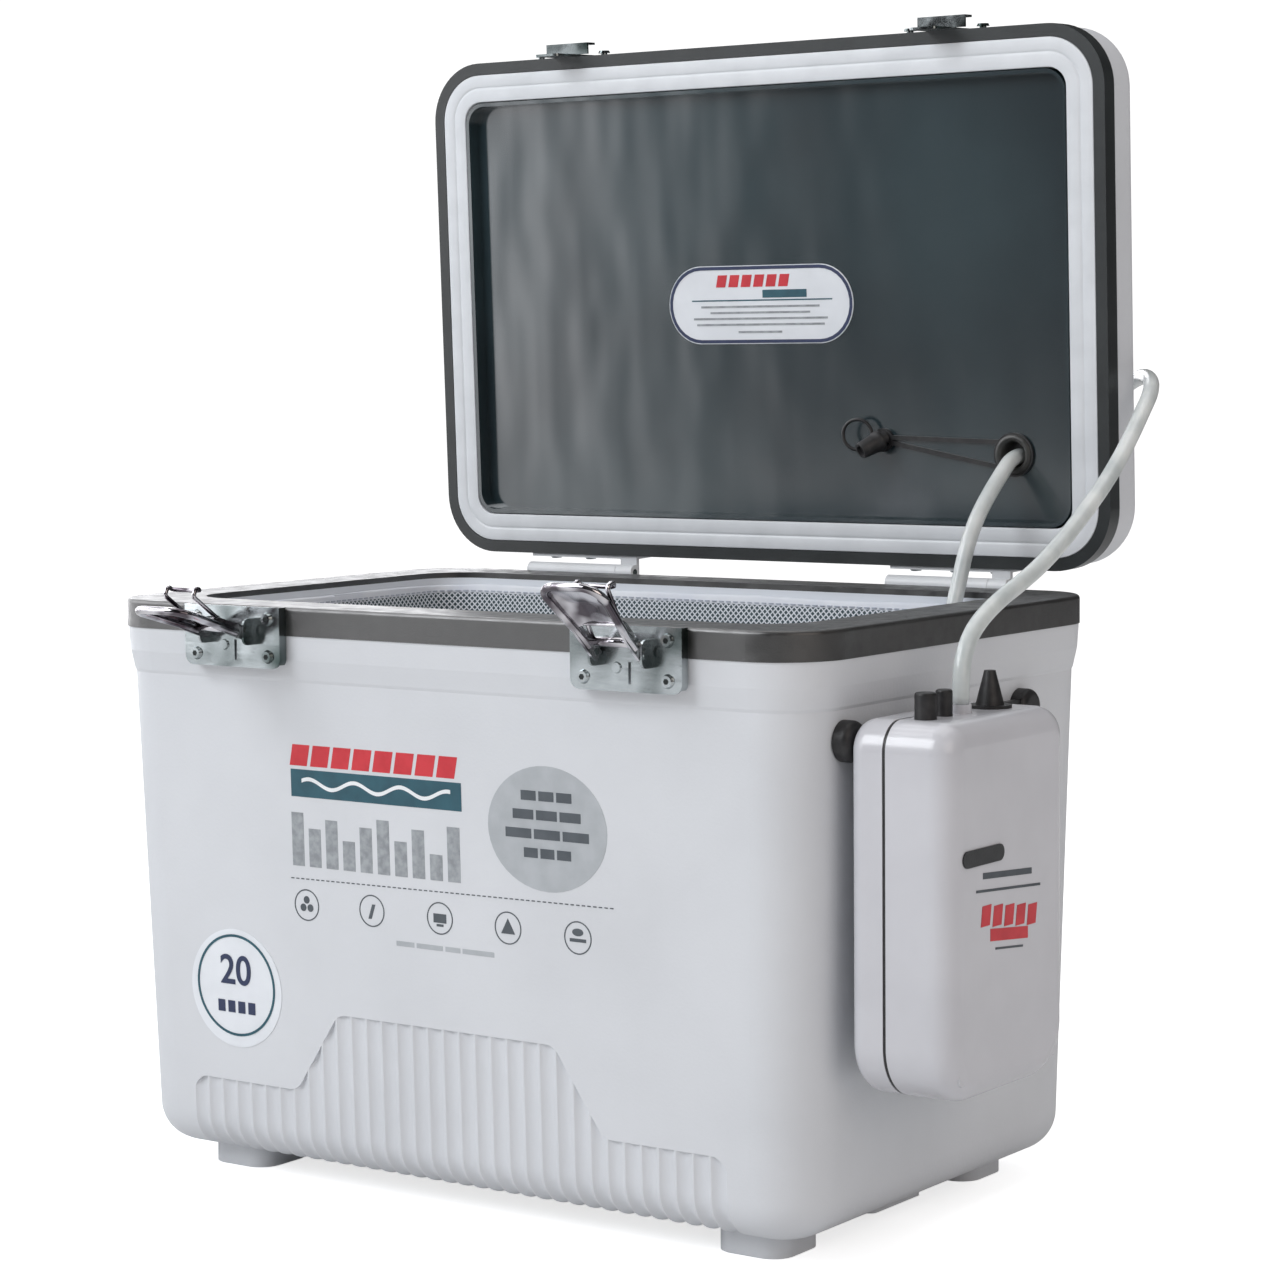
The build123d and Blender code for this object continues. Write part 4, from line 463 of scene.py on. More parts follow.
for row in range(BAG_ROWS):
    over, under = bag_rows[row], bag_rows[row + 1]
    for i in range(ring_count):
        j = (i + 1) % ring_count
        face = bag_bm.faces.new((over[i], under[i], under[j], over[j]))
        marks = ((i, row), (i, row + 1), (i + 1, row + 1), (i + 1, row))
        for loop, (k, r) in zip(face.loops, marks):
            loop[weave].uv = (k * around, bag_down[r])
floor_rings = [bag_rows[-1]]
for shrink in (0.8, 0.6, 0.4, 0.2):
    ring = []
    for vert in bag_rows[-1]:
        spot = Vector((vert.co.x * BAG_SAG_WAVES, vert.co.y * BAG_SAG_WAVES, 1.0))
        lift = BAG_SAG * abs(noise.noise(spot))
        ring.append(bag_bm.verts.new((vert.co.x * shrink, vert.co.y * shrink, BAG_FLOOR + lift)))
    floor_rings.append(ring)
floor_rings.append([bag_bm.verts.new((0, 0, BAG_FLOOR))])
for outer, inner in zip(floor_rings, floor_rings[1:]):
    for i in range(ring_count):
        j = (i + 1) % ring_count
        within = (inner[i], inner[j]) if len(inner) > 1 else (inner[0],)
        face = bag_bm.faces.new((outer[i], *within, outer[j]))
        for loop in face.loops:
            loop[weave].uv = (loop.vert.co.x, loop.vert.co.y)
bag_mesh = closed_mesh("net", bag_bm)
bag_mesh.flip_normals()
net = add_piece("net", bag_mesh, net_white)
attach(net, "root")
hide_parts("net_bag")

hem_white, hem_shader = new_material("hem_white", screen(214, 218, 226), 0.6)
mottle(hem_white, hem_shader, screen(206, 210, 220), screen(220, 223, 229), 0.03)
grain(hem_white, hem_shader, 0.0011, 0.0001)
hem_ring = rounded_ring(HEM_WIDTH, HEM_DEPTH, HEM_CORNER, RIM_STEP)
hem_normals = ring_normals(hem_ring)
hem_section = [(0.0, 0.0), (0.0, 0.94), (0.12, 0.985), (0.35, 1.0), (0.65, 1.0)]
hem_section += [(0.88, 0.985), (1.0, 0.94), (1.0, 0.5), (1.0, 0.06), (0.8, 0.0)]
hem_rows = []
for point, normal in zip(hem_ring, hem_normals):
    ripple = noise.noise(Vector((point.x * HEM_WAVES, point.y * HEM_WAVES, 3.0)))
    top = HEM_HIGH + HEM_RIPPLE * ripple - HEM_RIPPLE / 2
    row = []
    for inward, up in hem_section:
        place = point - normal * (HEM_THICK * (1 + HEM_SWELL * ripple * inward) * inward + HEM_GAP)
        row.append((place.x, place.y, HEM_LOW + (top - HEM_LOW) * up))
    hem_rows.append(row)
hem_mesh = looped_mesh("hem", hem_rows)
hem = add_piece("hem", hem_mesh, hem_white)
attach(hem, "root")
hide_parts("net_hem")


def prism(name, polygons, origin, right_way, up_way, depth):
    """A thin solid of flat shapes. Polygons are lists of (right, up) points in millimetres; shapes that
    touch share their points. It stands depth metres out from the plane through origin."""
    right_way, up_way = Vector(right_way).normalized(), Vector(up_way).normalized()
    out_way = right_way.cross(up_way)
    bm = bmesh.new()
    made = {}
    for polygon in polygons:
        corners = []
        for across, up in polygon:
            key = (round(across, 4), round(up, 4))
            if key not in made:
                made[key] = bm.verts.new(Vector(origin) + (right_way * across + up_way * up) * MM)
            corners.append(made[key])
        bm.faces.new(corners)
    lifted = bmesh.ops.extrude_face_region(bm, geom=bm.faces[:])["geom"]
    tops = [part for part in lifted if isinstance(part, bmesh.types.BMVert)]
    bmesh.ops.translate(bm, vec=out_way * depth, verts=tops)
    return closed_mesh(name, bm)


def bar(left, low, right, high, slant=0.0):
    """A bar, whose top is moved right by slant."""
    return [(left, low), (right, low), (right + slant, high), (left + slant, high)]


def oval(x, y, half_x, half_y, count=48):
    """An oval's outline."""
    angles = [2 * pi * k / count for k in range(count)]
    return [(x + half_x * cos(a), y + half_y * sin(a)) for a in angles]


def band(inner, outer):
    """A closed band between two outlines with as many points."""
    count = len(inner)
    return [[outer[k], outer[(k + 1) % count], inner[(k + 1) % count], inner[k]] for k in range(count)]


def slot_outline(half_width, half_height, count=16):
    """A slot's outline, with round ends."""
    outline = []
    for side, start in ((1, -pi / 2), (-1, pi / 2)):
        centre = side * (half_width - half_height)
        angles = np.linspace(start, start + pi, count)
        outline += [(centre + half_height * cos(a), half_height * sin(a)) for a in angles]
    return outline


HEM_TAB_PLACE = (-0.17795, 0.042, 0.2700)
HEM_TAB_THICK = 0.0016
tab_mesh = prism("hem_tab", [bar(0, 0, 36, 15.5, 2)], HEM_TAB_PLACE, (0, -1, 0), (0, 0, 1), HEM_TAB_THICK)
hem_tab = add_piece("hem_tab", tab_mesh, hem_white, smooth=False)
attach(hem_tab, "root")


def repeat_tree():
    """Copies one small box along a line of edges: spacing and size are inputs."""
    tree = bpy.data.node_groups.new("repeat_along", "GeometryNodeTree")
    tree.interface.new_socket(name="Geometry", in_out="INPUT", socket_type="NodeSocketGeometry")
    spacing = tree.interface.new_socket(name="Spacing", in_out="INPUT", socket_type="NodeSocketFloat")
    size = tree.interface.new_socket(name="Size", in_out="INPUT", socket_type="NodeSocketVector")
    material = tree.interface.new_socket(name="Material", in_out="INPUT", socket_type="NodeSocketMaterial")
    tree.interface.new_socket(name="Geometry", in_out="OUTPUT", socket_type="NodeSocketGeometry")
    nodes, links = tree.nodes, tree.links
    into, out = nodes.new("NodeGroupInput"), nodes.new("NodeGroupOutput")
    to_curve = nodes.new("GeometryNodeMeshToCurve")
    resample = nodes.new("GeometryNodeResampleCurve")
    resample.mode = "LENGTH"
    tangent = nodes.new("GeometryNodeInputTangent")
    align = nodes.new("FunctionNodeAlignRotationToVector")
    align.axis = "X"
    align.pivot_axis = "AUTO"
    cube = nodes.new("GeometryNodeMeshCube")
    place = nodes.new("GeometryNodeInstanceOnPoints")
    realize = nodes.new("GeometryNodeRealizeInstances")
    paint = nodes.new("GeometryNodeSetMaterial")
    links.new(into.outputs["Geometry"], to_curve.inputs["Mesh"])
    links.new(to_curve.outputs["Curve"], resample.inputs["Curve"])
    links.new(into.outputs["Spacing"], resample.inputs["Length"])
    links.new(tangent.outputs["Tangent"], align.inputs["Vector"])
    links.new(into.outputs["Size"], cube.inputs["Size"])
    links.new(resample.outputs["Curve"], place.inputs["Points"])
    links.new(cube.outputs["Mesh"], place.inputs["Instance"])
    links.new(align.outputs["Rotation"], place.inputs["Rotation"])
    links.new(place.outputs["Instances"], realize.inputs["Geometry"])
    links.new(realize.outputs["Geometry"], paint.inputs["Geometry"])
    links.new(into.outputs["Material"], paint.inputs["Material"])
    links.new(paint.outputs["Geometry"], out.inputs["Geometry"])
    return tree, spacing.identifier, size.identifier, material.identifier


REPEAT, REPEAT_SPACING, REPEAT_SIZE, REPEAT_MATERIAL = repeat_tree()


def repeated(name, path, closed, spacing, size, material):
    """A plain mesh of small boxes along a path."""
    guide = bpy.data.meshes.new(f"{name}_guide")
    edges = [(k, k + 1) for k in range(len(path) - 1)] + ([(len(path) - 1, 0)] if closed else [])
    guide.from_pydata([tuple(p) for p in path], edges, [])
    holder = bpy.data.objects.new(f"{name}_guide", guide)
    scene.collection.objects.link(holder)
    modifier = holder.modifiers.new("repeat", "NODES")
    modifier.node_group = REPEAT
    modifier[REPEAT_SPACING] = spacing
    modifier[REPEAT_SIZE] = size
    modifier[REPEAT_MATERIAL] = material
    holder.update_tag()
    depsgraph = bpy.context.evaluated_depsgraph_get()
    mesh = bpy.data.meshes.new_from_object(holder.evaluated_get(depsgraph))
    holder.modifiers.remove(modifier)
    bpy.data.objects.remove(holder)
    bpy.data.meshes.remove(guide)
    return mesh


STITCH_Z = 0.2822
STITCH_SPACING = 0.0045
STITCH_SIZE = (0.0028, 0.0007, 0.0007)
stitch_inset = HEM_THICK + 0.0003
stitch_ring = rounded_ring(
    HEM_WIDTH - 2 * stitch_inset, HEM_DEPTH - 2 * stitch_inset, HEM_CORNER - HEM_THICK, 0.004
)
stitch_path = [Vector((p.x, p.y, STITCH_Z)) for p in stitch_ring]
thread, thread_shader = new_material("sewing_thread", screen(176, 182, 194), 0.8)
grain(thread, thread_shader, 0.0006, 0.0001)
stitch_mesh = repeated("hem_stitches", stitch_path, True, STITCH_SPACING, STITCH_SIZE, thread)
stitches = add_piece("hem_stitches", stitch_mesh, thread, smooth=False)
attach(stitches, "root")

# ---- Front print: two-colour block, grey disc, dashed line and five ring marks, and a sticker ----
# Flat ink on the front wall, which leans out a little towards the top. All marks are generic.

FRONT_ORIGIN = Vector((0, -127.2037, 0)) * MM
FRONT_UP = (0, -0.02469, 1)
INK_DEPTH = 0.00014
SECOND_INK = 0.00012


def front_ink(name, polygons, material, raised=0.0):
    """Ink on the front wall, or raised from it, from polygons in the wall's own millimetres."""
    origin = FRONT_ORIGIN - Vector((0, raised, 0))
    mesh = prism(name, polygons, origin, (1, 0, 0), FRONT_UP, INK_DEPTH)
    ink = add_piece(name, mesh, material, smooth=False)
    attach(ink, "root")


def flat_ink(name, colour, low, high, roughness=0.4, size=0.01):
    """A printed ink whose colour drifts a little between low and high."""
    ink, shader = new_material(name, screen(*colour), roughness)
    mottle(ink, shader, screen(*low), screen(*high), size)
    return ink


ink_red = flat_ink("ink_red", (196, 40, 52), (190, 36, 48), (204, 48, 58))
ink_teal = flat_ink("ink_teal", (28, 78, 92), (25, 73, 87), (33, 84, 98))
ink_grey = flat_ink("ink_grey", (142, 146, 150), (134, 138, 142), (160, 164, 168), 0.5, 0.004)
ink_pale = flat_ink("ink_pale_grey", (170, 174, 178), (166, 170, 174), (175, 179, 183), 0.5)
ink_dark = flat_ink("ink_dark", (74, 80, 86), (70, 76, 82), (80, 86, 92), 0.5)
ink_navy = flat_ink("ink_navy", (32, 44, 78), (29, 41, 74), (36, 48, 84))
ink_white = flat_ink("ink_white", (232, 234, 236), (229, 231, 233), (235, 237, 239))

front_ink("print_red", [bar(x, 214.2, x + 11.0, 224.6, 2.2) for x in np.linspace(-91.5, 0.5, 8)], ink_red)
front_ink("print_teal", [bar(-91, 198.8, 15.5, 212.4)], ink_teal)

WAVE_MID = 206.6
WAVE_RISE = 2.2
WAVE_THICK = 1.9
wave_top = [(x, WAVE_MID + WAVE_RISE * sin(x / 4.6)) for x in np.linspace(-84, 9, 60)]
wave_low = [(x, y - WAVE_THICK) for x, y in wave_top]
wave = [
    [low_left, low_right, top_right, top_left]
    for low_left, low_right, top_right, top_left in zip(wave_low, wave_low[1:], wave_top[1:], wave_top)
]
front_ink("print_wave", wave, ink_white, SECOND_INK)

COLUMN_LEFT = -91.5
COLUMN_FOOT = 164.4
COLUMN_PITCH = 10.85
COLUMN_WIDTH = 7.6
column_heights = (26.5, 19.0, 24.0, 14.5, 22.0, 26.5, 17.0, 23.5, 12.5, 26.5)
columns = []
for k, tall in enumerate(column_heights):
    left = COLUMN_LEFT + COLUMN_PITCH * k
    columns.append(bar(left, COLUMN_FOOT, left + COLUMN_WIDTH, COLUMN_FOOT + tall))
front_ink("print_columns", columns, ink_grey)

DISC_X = 65.8
DISC_Y = 194.2
DISC_BAR_HALF = 2.3
DISC_BAR_GAP = 0.8
front_ink("print_disc", [oval(DISC_X, DISC_Y, 34.6, 29.6)], ink_pale)
disc_bars = []
for y, half in ((209.5, 15.5), (200.5, 20.5), (191.5, 25.0), (182.5, 14.5)):
    for part in range(3):
        left = DISC_X - half + part * 2 * half / 3 + DISC_BAR_GAP
        right = DISC_X - half + (part + 1) * 2 * half / 3 - DISC_BAR_GAP
        disc_bars.append(bar(left, y - DISC_BAR_HALF, right, y + DISC_BAR_HALF))
front_ink("print_disc_bars", disc_bars, ink_dark, SECOND_INK)
foot_line = [bar(x, 130.4, x + width, 132.8) for x, width in ((-27, 11), (-14.5, 16), (3.2, 9), (13.6, 19))]
front_ink("print_foot_line", foot_line, ink_pale)

RING_IN = 7.3
RING_OUT = 7.9
ring_spots = ((-83.5, 145.1), (-41.9, 146.0), (0.3, 146.2), (41.3, 145.4), (82.1, 144.6))
ring_polygons = []
for x, y in ring_spots:
    ring_polygons += band(oval(x, y, RING_IN, RING_IN, 32), oval(x, y, RING_OUT, RING_OUT, 32))
front_ink("print_rings", ring_polygons, ink_dark)
mark_x, mark_y = ring_spots[0]
dot_angles = (pi / 2, pi * 7 / 6, pi * 11 / 6)
mark_polygons = [oval(mark_x + 2.6 * cos(a), mark_y + 2.6 * sin(a), 1.9, 1.9, 16) for a in dot_angles]
mark_polygons += [bar(-44.2, 142.0, -42.2, 149.2, 2.6), bar(-3.6, 144.0, 4.2, 148.4)]
mark_polygons += [bar(-1.8, 142.2, 2.4, 143.4), [(37.2, 142.6), (45.4, 142.6), (41.3, 150.0)]]
mark_polygons += [bar(77.4, 142.6, 86.8, 144.2), oval(82.1, 147.2, 3.2, 1.8, 20)]
front_ink("print_marks", mark_polygons, ink_dark)

DASH_SPACING = 0.0032
DASH_SIZE = (0.0019, 0.0002, 0.0005)
dash_up = Vector(FRONT_UP).normalized()
dash_path = [
    FRONT_ORIGIN + Vector((x, 0, 0)) * MM + dash_up * z * MM + Vector((0, -0.0001, 0))
    for x, z in ((-92, 158.0), (102, 160.2))
]
dash_mesh = repeated("print_dashes", dash_path, False, DASH_SPACING, DASH_SIZE, ink_dark)
dashes = add_piece("print_dashes", dash_mesh, ink_dark, smooth=False)
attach(dashes, "root")

vinyl, vinyl_shader = new_material("white_vinyl", screen(224, 227, 232), 0.3)
mottle(vinyl, vinyl_shader, screen(221, 224, 229), screen(227, 230, 235), 0.02)
grain(vinyl, vinyl_shader, 0.002, 0.00002)
finish_nodes(vinyl, "label_print", "front_sticker", "lid_label")

STICKER_X = -132.0
STICKER_Z = 98.5
STICKER_FACE = 0.00035 + 0.0001
STICKER_RING = 24.6
STICKER_RING_WIDTH = 1.3
STICKER_RING_Z = STICKER_Z + 1.5
NUMBER_HEIGHT = 21
NUMBER_DEPTH = 0.0002


def digits_mesh(name, text, height, centre, origin, right_way, up_way, depth):
    """Plain digits as a thin solid, centred on a point of a plane."""
    curve = bpy.data.curves.new(name, "FONT")
    curve.body = text
    curve.size = height
    curve.align_x = "CENTER"
    curve.align_y = "CENTER"
    curve.offset = height * 0.012
    curve.extrude = depth / MM / 2
    holder = bpy.data.objects.new(name, curve)
    mesh = bpy.data.meshes.new_from_object(holder)
    bpy.data.objects.remove(holder)
    bpy.data.curves.remove(curve)
    right_way, up_way = Vector(right_way).normalized(), Vector(up_way).normalized()
    out_way = right_way.cross(up_way)
    for vert in mesh.vertices:
        flat = right_way * (vert.co.x + centre[0]) + up_way * (vert.co.y + centre[1]) + out_way * vert.co.z
        vert.co = Vector(origin) + flat * MM
    return mesh


ring_edges = [
    oval(STICKER_X, STICKER_RING_Z, radius, radius, 64)
    for radius in (STICKER_RING, STICKER_RING + STICKER_RING_WIDTH)
]
front_ink("sticker_ring", band(*ring_edges), ink_teal, STICKER_FACE)
bar_lefts = [STICKER_X + x for x in (-12.4, -5.7, 1.0, 7.7)]
sticker_bars = [bar(left, STICKER_Z - 12.5, left + 4.6, STICKER_Z - 6.5) for left in bar_lefts]
front_ink("sticker_bars", sticker_bars, ink_navy, STICKER_FACE)
number_origin = FRONT_ORIGIN - Vector((0, STICKER_FACE + 0.0001, 0))
number_centre = (STICKER_X, STICKER_Z + 8.5)
number_mesh = digits_mesh(
    "sticker_number", "20", NUMBER_HEIGHT, number_centre, number_origin, (1, 0, 0), FRONT_UP, NUMBER_DEPTH
)
number = add_piece("sticker_number", number_mesh, ink_navy, smooth=False)
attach(number, "root")

# ---- Draw latches: plates screwed to the rim, levers on pins, hooked claws ----
# Bright plated steel. Each lever is a pressed spoon whose rim is rolled round a hollow face.

plated, plated_shader = new_material("plated_steel", screen(196, 202, 201), 0.14, metallic=1.0)
# Its base colour swings in large patches from dark green-grey to bright. This is painted reflection of the
# surroundings, on top of what the metal really mirrors.
mottle(plated, plated_shader, screen(70, 82, 80), screen(186, 192, 194), 0.026, detail=1.5, span=(0.36, 0.66))
mottle(plated, plated_shader, 0.1, 0.26, 0.009, socket="Roughness")
grain(plated, plated_shader, 0.004, 0.00003, stretch=(0.3, 1, 1))
finish_nodes(
    plated,
    "plated_steel",
    "latch_plate_left",
    "latch_plate_right",
    "claw_pin_left",
    "claw_pin_right",
    "lever_pins",
    "latch_screws",
    "latch_rivets",
    "keepers",
    "keeper_screws",
    "hinge_pins",
    "hinge_screws_tub",
    "hinge_screws_lid",
    "pump_screws",
    "battery_contacts",
    "toggle_lever",
    "motor_eccentric",
    "pump_motor",
)
chrome, chrome_shader = new_material("bright_chrome", screen(214, 214, 216), 0.07, metallic=1.0)
# Its base colour has dark and bright patches. This is painted reflection, on top of what the chrome really
# mirrors.
mottle(chrome, chrome_shader, screen(92, 86, 92), screen(212, 210, 214), 0.014, detail=1.5, span=(0.4, 0.58))
mottle(chrome, chrome_shader, 0.05, 0.12, 0.01, socket="Roughness")

LEVER_PIVOT_Y = -0.1473
LEVER_PIVOT_Z = 0.280
LEVER_X = 0.119
LEVER_ROOT_HALF = 0.0127
LEVER_TIP_HALF = 0.01595
LEVER_TIP_U = 0.0499
LEVER_TIP_CORNER = 0.009
LEVER_RIM_R = 0.0020
LEVER_RIM_N = 0.0018
LEVER_FLARE_START = 0.012
LEVER_FLARE_LENGTH = 0.028
LEVER_ARM_BACK = 0.0125
LEVER_PAN_START = 0.0185
LEVER_PAN_DEEP = 0.0034
LEVER_PAN_THICK = 0.0006
LEVER_PAN_RISE = 0.016
LEVER_PAN_TUCK = 0.0004
LEVER_ROOT_DROP = 0.0006
LEVER_PAN_ROWS = 26
LEVER_PAN_COLUMNS = 20
LEVER_EAR_OUT = 0.0135
LEVER_EAR_IN = 0.0121


def lever_half(u):
    """Half the width between the rim's centre lines, at u from the pin."""
    flare = min(max((u - LEVER_FLARE_START) / LEVER_FLARE_LENGTH, 0.0), 1.0)
    half = LEVER_ROOT_HALF + (LEVER_TIP_HALF - LEVER_ROOT_HALF) * flare
    past = u - (LEVER_TIP_U - LEVER_TIP_CORNER)
    if past > 0:
        half -= LEVER_TIP_CORNER - max(LEVER_TIP_CORNER**2 - past**2, 0) ** 0.5
    return half


def lever_rim(name):
    """The rolled rim: a bar along both arms and round the tip."""
    straight_end = LEVER_TIP_U - LEVER_TIP_CORNER
    start = LEVER_PAN_START - LEVER_ARM_BACK
    half_path = []
    for k in range(15):
        u = start + (straight_end - start) * k / 14
        half_path.append(Vector((-lever_half(u), LEVER_RIM_N - LEVER_ROOT_DROP * (1 - u / LEVER_TIP_U), -u)))
    for a in np.linspace(0.12, pi / 2, 9):
        across = LEVER_TIP_HALF - LEVER_TIP_CORNER * (1 - cos(a))
        half_path.append(Vector((-across, LEVER_RIM_N, -(straight_end + LEVER_TIP_CORNER * sin(a)))))
    mirrored = [Vector((-p.x, p.y, p.z)) for p in reversed(half_path)]
    return tube_mesh(name, half_path + mirrored, LEVER_RIM_R, 16)


def add_lever_pan(bm):
    """The dished sheet inside the rim, with its own thickness."""
    rows, columns = LEVER_PAN_ROWS, LEVER_PAN_COLUMNS
    reach = LEVER_TIP_U - LEVER_PAN_TUCK - LEVER_PAN_START
    layers = []
    for thick in (0.0, LEVER_PAN_THICK):
        grid = []
        for r in range(rows + 1):
            u = LEVER_PAN_START + reach * (1 - (1 - r / rows) ** 1.4)
            half = lever_half(u)
            tip_rise = min(1.0, ((LEVER_TIP_U - u) / LEVER_PAN_RISE)) ** 0.55
            line = []
            for c in range(columns + 1):
                s = -1 + 2 * c / columns
                n = LEVER_RIM_N - LEVER_PAN_TUCK - LEVER_PAN_DEEP * (1 - abs(s) ** 3.2) * tip_rise
                line.append(bm.verts.new((s * half, n - thick, -u)))
            grid.append(line)
        layers.append(grid)
    upper, under = layers
    for r in range(rows):
        for c in range(columns):
            bm.faces.new((upper[r][c], upper[r][c + 1], upper[r + 1][c + 1], upper[r + 1][c]))
            bm.faces.new((under[r + 1][c], under[r + 1][c + 1], under[r][c + 1], under[r][c]))
    for r in range(rows):
        bm.faces.new((upper[r][0], upper[r + 1][0], under[r + 1][0], under[r][0]))
        bm.faces.new((upper[r + 1][columns], upper[r][columns], under[r][columns], under[r + 1][columns]))
    for c in range(columns):
        bm.faces.new((upper[0][c + 1], upper[0][c], under[0][c], under[0][c + 1]))
        bm.faces.new((upper[rows][c], upper[rows][c + 1], under[rows][c + 1], under[rows][c]))


def add_lever_ears(bm):
    """The two flat cheeks at the root, through which the pin goes."""
    outline = [(-0.003, -0.0024), (-0.003, 0.0018), (-0.0022, 0.0034), (0.0, 0.004), (0.013, 0.0038)]
    outline += [(0.022, 0.0030), (0.027, 0.0016), (0.0225, -0.0016), (0.0195, -0.0024)]
    for side in (-1, 1):
        faces = []
        for x in (side * LEVER_EAR_OUT, side * LEVER_EAR_IN):
            faces.append([bm.verts.new((x + (side * 0.0006 if u > 0.018 else 0), n, -u)) for u, n in outline])
        outer, inner = faces
        bm.faces.new(outer)
        bm.faces.new(list(reversed(inner)))
        for k in range(len(outline)):
            m = (k + 1) % len(outline)
            bm.faces.new((outer[k], inner[k], inner[m], outer[m]))


def lever_mesh(name):
    """A lever in its own frame: x across, u from the pin as minus z, n towards the box as y."""
    cross_points = [Vector((x, -0.0015, -LEVER_PAN_START - 0.0004)) for x in (-0.0126, 0.0, 0.0126)]
    rim = lever_rim(f"{name}_rim")
    cross = tube_mesh(f"{name}_cross", cross_points, 0.00085, 12)
    bm = bmesh.new()
    bm.from_mesh(rim)
    add_lever_pan(bm)
    add_lever_ears(bm)
    bm.from_mesh(cross)
    bpy.data.meshes.remove(rim)
    bpy.data.meshes.remove(cross)
    return closed_mesh(name, bm)


CLAW_PIVOT_DROP = 0.008
CLAW_TOP = 0.0299
CLAW_HALF = 0.0093
CLAW_WIRE_R = 0.0011
CLAW_BEND = 0.0018
CLAW_HOOK_IN = 0.0050
CLAW_HOOK_DOWN = 0.0030
CLAW_BARREL_R = 0.0023
CLAW_BARREL_HALF = 0.0103
CLAW_TURN = 163.0


def joined_mesh(name, *parts):
    """One mesh from several, which are removed."""
    bm = bmesh.new()
    for part in parts:
        bm.from_mesh(part)
        bpy.data.meshes.remove(part)
    mesh = bpy.data.meshes.new(name)
    bm.to_mesh(mesh)
    bm.free()
    return mesh


def claw_mesh(name):
    """A bent wire claw in its locked place: its barrel on the claw pin at the origin, z up, y to the box."""
    bend_z, bend_y = CLAW_TOP - CLAW_BEND, CLAW_HOOK_IN - CLAW_BEND
    hook_z = CLAW_TOP - CLAW_HOOK_DOWN
    arc = (pi / 6, pi / 3, pi / 2)
    side = [(CLAW_HALF, 0, 0.0008), (CLAW_HALF, 0, 0.012), (CLAW_HALF, 0, bend_z)]
    side += [(CLAW_HALF, CLAW_BEND * (1 - cos(a)), bend_z + CLAW_BEND * sin(a)) for a in arc]
    side += [(CLAW_HALF, bend_y, CLAW_TOP)]
    side += [(CLAW_HALF, bend_y + CLAW_BEND * sin(a), bend_z + CLAW_BEND * cos(a)) for a in arc]
    side += [(CLAW_HALF - 0.0003, CLAW_HOOK_IN, hook_z + 0.0004), (CLAW_HALF - 0.0016, CLAW_HOOK_IN, hook_z)]
    other = [(-x, y, z) for x, y, z in reversed(side)]
    wire = tube_mesh(f"{name}_wire", [Vector(p) for p in side + other], CLAW_WIRE_R, 12)
    barrel_line = [Vector((x, 0, 0)) for x in (-CLAW_BARREL_HALF, 0.0, CLAW_BARREL_HALF)]
    return joined_mesh(name, wire, tube_mesh(f"{name}_barrel", barrel_line, CLAW_BARREL_R, 20))


SCREW_ACROSS = 0.0234
SCREW_ALONG = 0.0092
PLATE_MID_Z = 0.277
SCREW_HEAD_Y = -0.1441
RECESS_R_MM = 1.45
RECESS_DEPTH = 0.0001
# Thin dark discs on the plates at each screw head. They are painted shade in the screws' recesses.
painted_recess_shade, recess_shader = new_material("painted_recess_shade", screen(34, 38, 38), 0.5, metallic=0.6)
mottle(painted_recess_shade, recess_shader, screen(28, 32, 32), screen(44, 48, 48), 0.001)
recess_spots = [
    (side * LEVER_X / MM + across * SCREW_ACROSS / MM, PLATE_MID_Z / MM + along * SCREW_ALONG / MM)
    for side in (-1, 1)
    for across in (-1, 1)
    for along in (-1, 1)
]
recess_shapes = [oval(x, z, RECESS_R_MM, RECESS_R_MM, 6) for x, z in recess_spots]
recess_mesh = prism(
    "painted_screw_recess_shade", recess_shapes, (0, SCREW_HEAD_Y, 0), (1, 0, 0), (0, 0, 1), RECESS_DEPTH
)
recesses = add_piece("painted_screw_recess_shade", recess_mesh, painted_recess_shade, smooth=False)
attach(recesses, "root")

for side_name, side_x, swing in (("left", -LEVER_X, 107.5), ("right", LEVER_X, 132.0)):
    pin_place = Matrix.Translation((side_x, LEVER_PIVOT_Y, LEVER_PIVOT_Z))
    stored = pin_place @ Matrix.Rotation(radians(-swing), 4, "X")
    folded = Matrix.Translation((0, 0, -CLAW_PIVOT_DROP)) @ Matrix.Rotation(radians(CLAW_TURN), 4, "X")
    claw_shape = claw_mesh(f"claw_{side_name}_shape")
    claw_shape.transform(stored @ folded)
    claw = add_piece(f"wire_claw_{side_name}", claw_shape, chrome)
    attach(claw, f"claw_{side_name}")
    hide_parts(f"latch_claw_{side_name}")
    lever_shape = lever_mesh(f"lever_{side_name}_shape")
    lever_shape.transform(stored)
    lever = add_piece(f"spoon_{side_name}", lever_shape, chrome)
    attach(lever, f"lever_{side_name}")
    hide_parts(f"latch_lever_{side_name}")
    lever_shape.set_sharp_from_angle(angle=radians(38))

# ---- Hinges: two white moulded hinges at the back, on steel pins ----
# One leaf of each is screwed to the tub and one to the lid. Their knuckles mesh round the pin.

hinge_white, hinge_shader = new_material("moulded_white", screen(208, 210, 213), 0.35)
mottle(hinge_white, hinge_shader, screen(204, 206, 209), screen(212, 214, 217), 0.02)
grain(hinge_white, hinge_shader, 0.001, 0.00003)
finish_nodes(hinge_white, "hinge_white", "hinge_tub_leaves", "hinge_lid_leaves")

# ---- Lid: glossy dark inner panel in a dark frame, under a white cover filled with foam ----
# The cover and the foam have the tub's finishes. The panel is a thin moulding with slow waves in
# its skin, which show in its gloss.

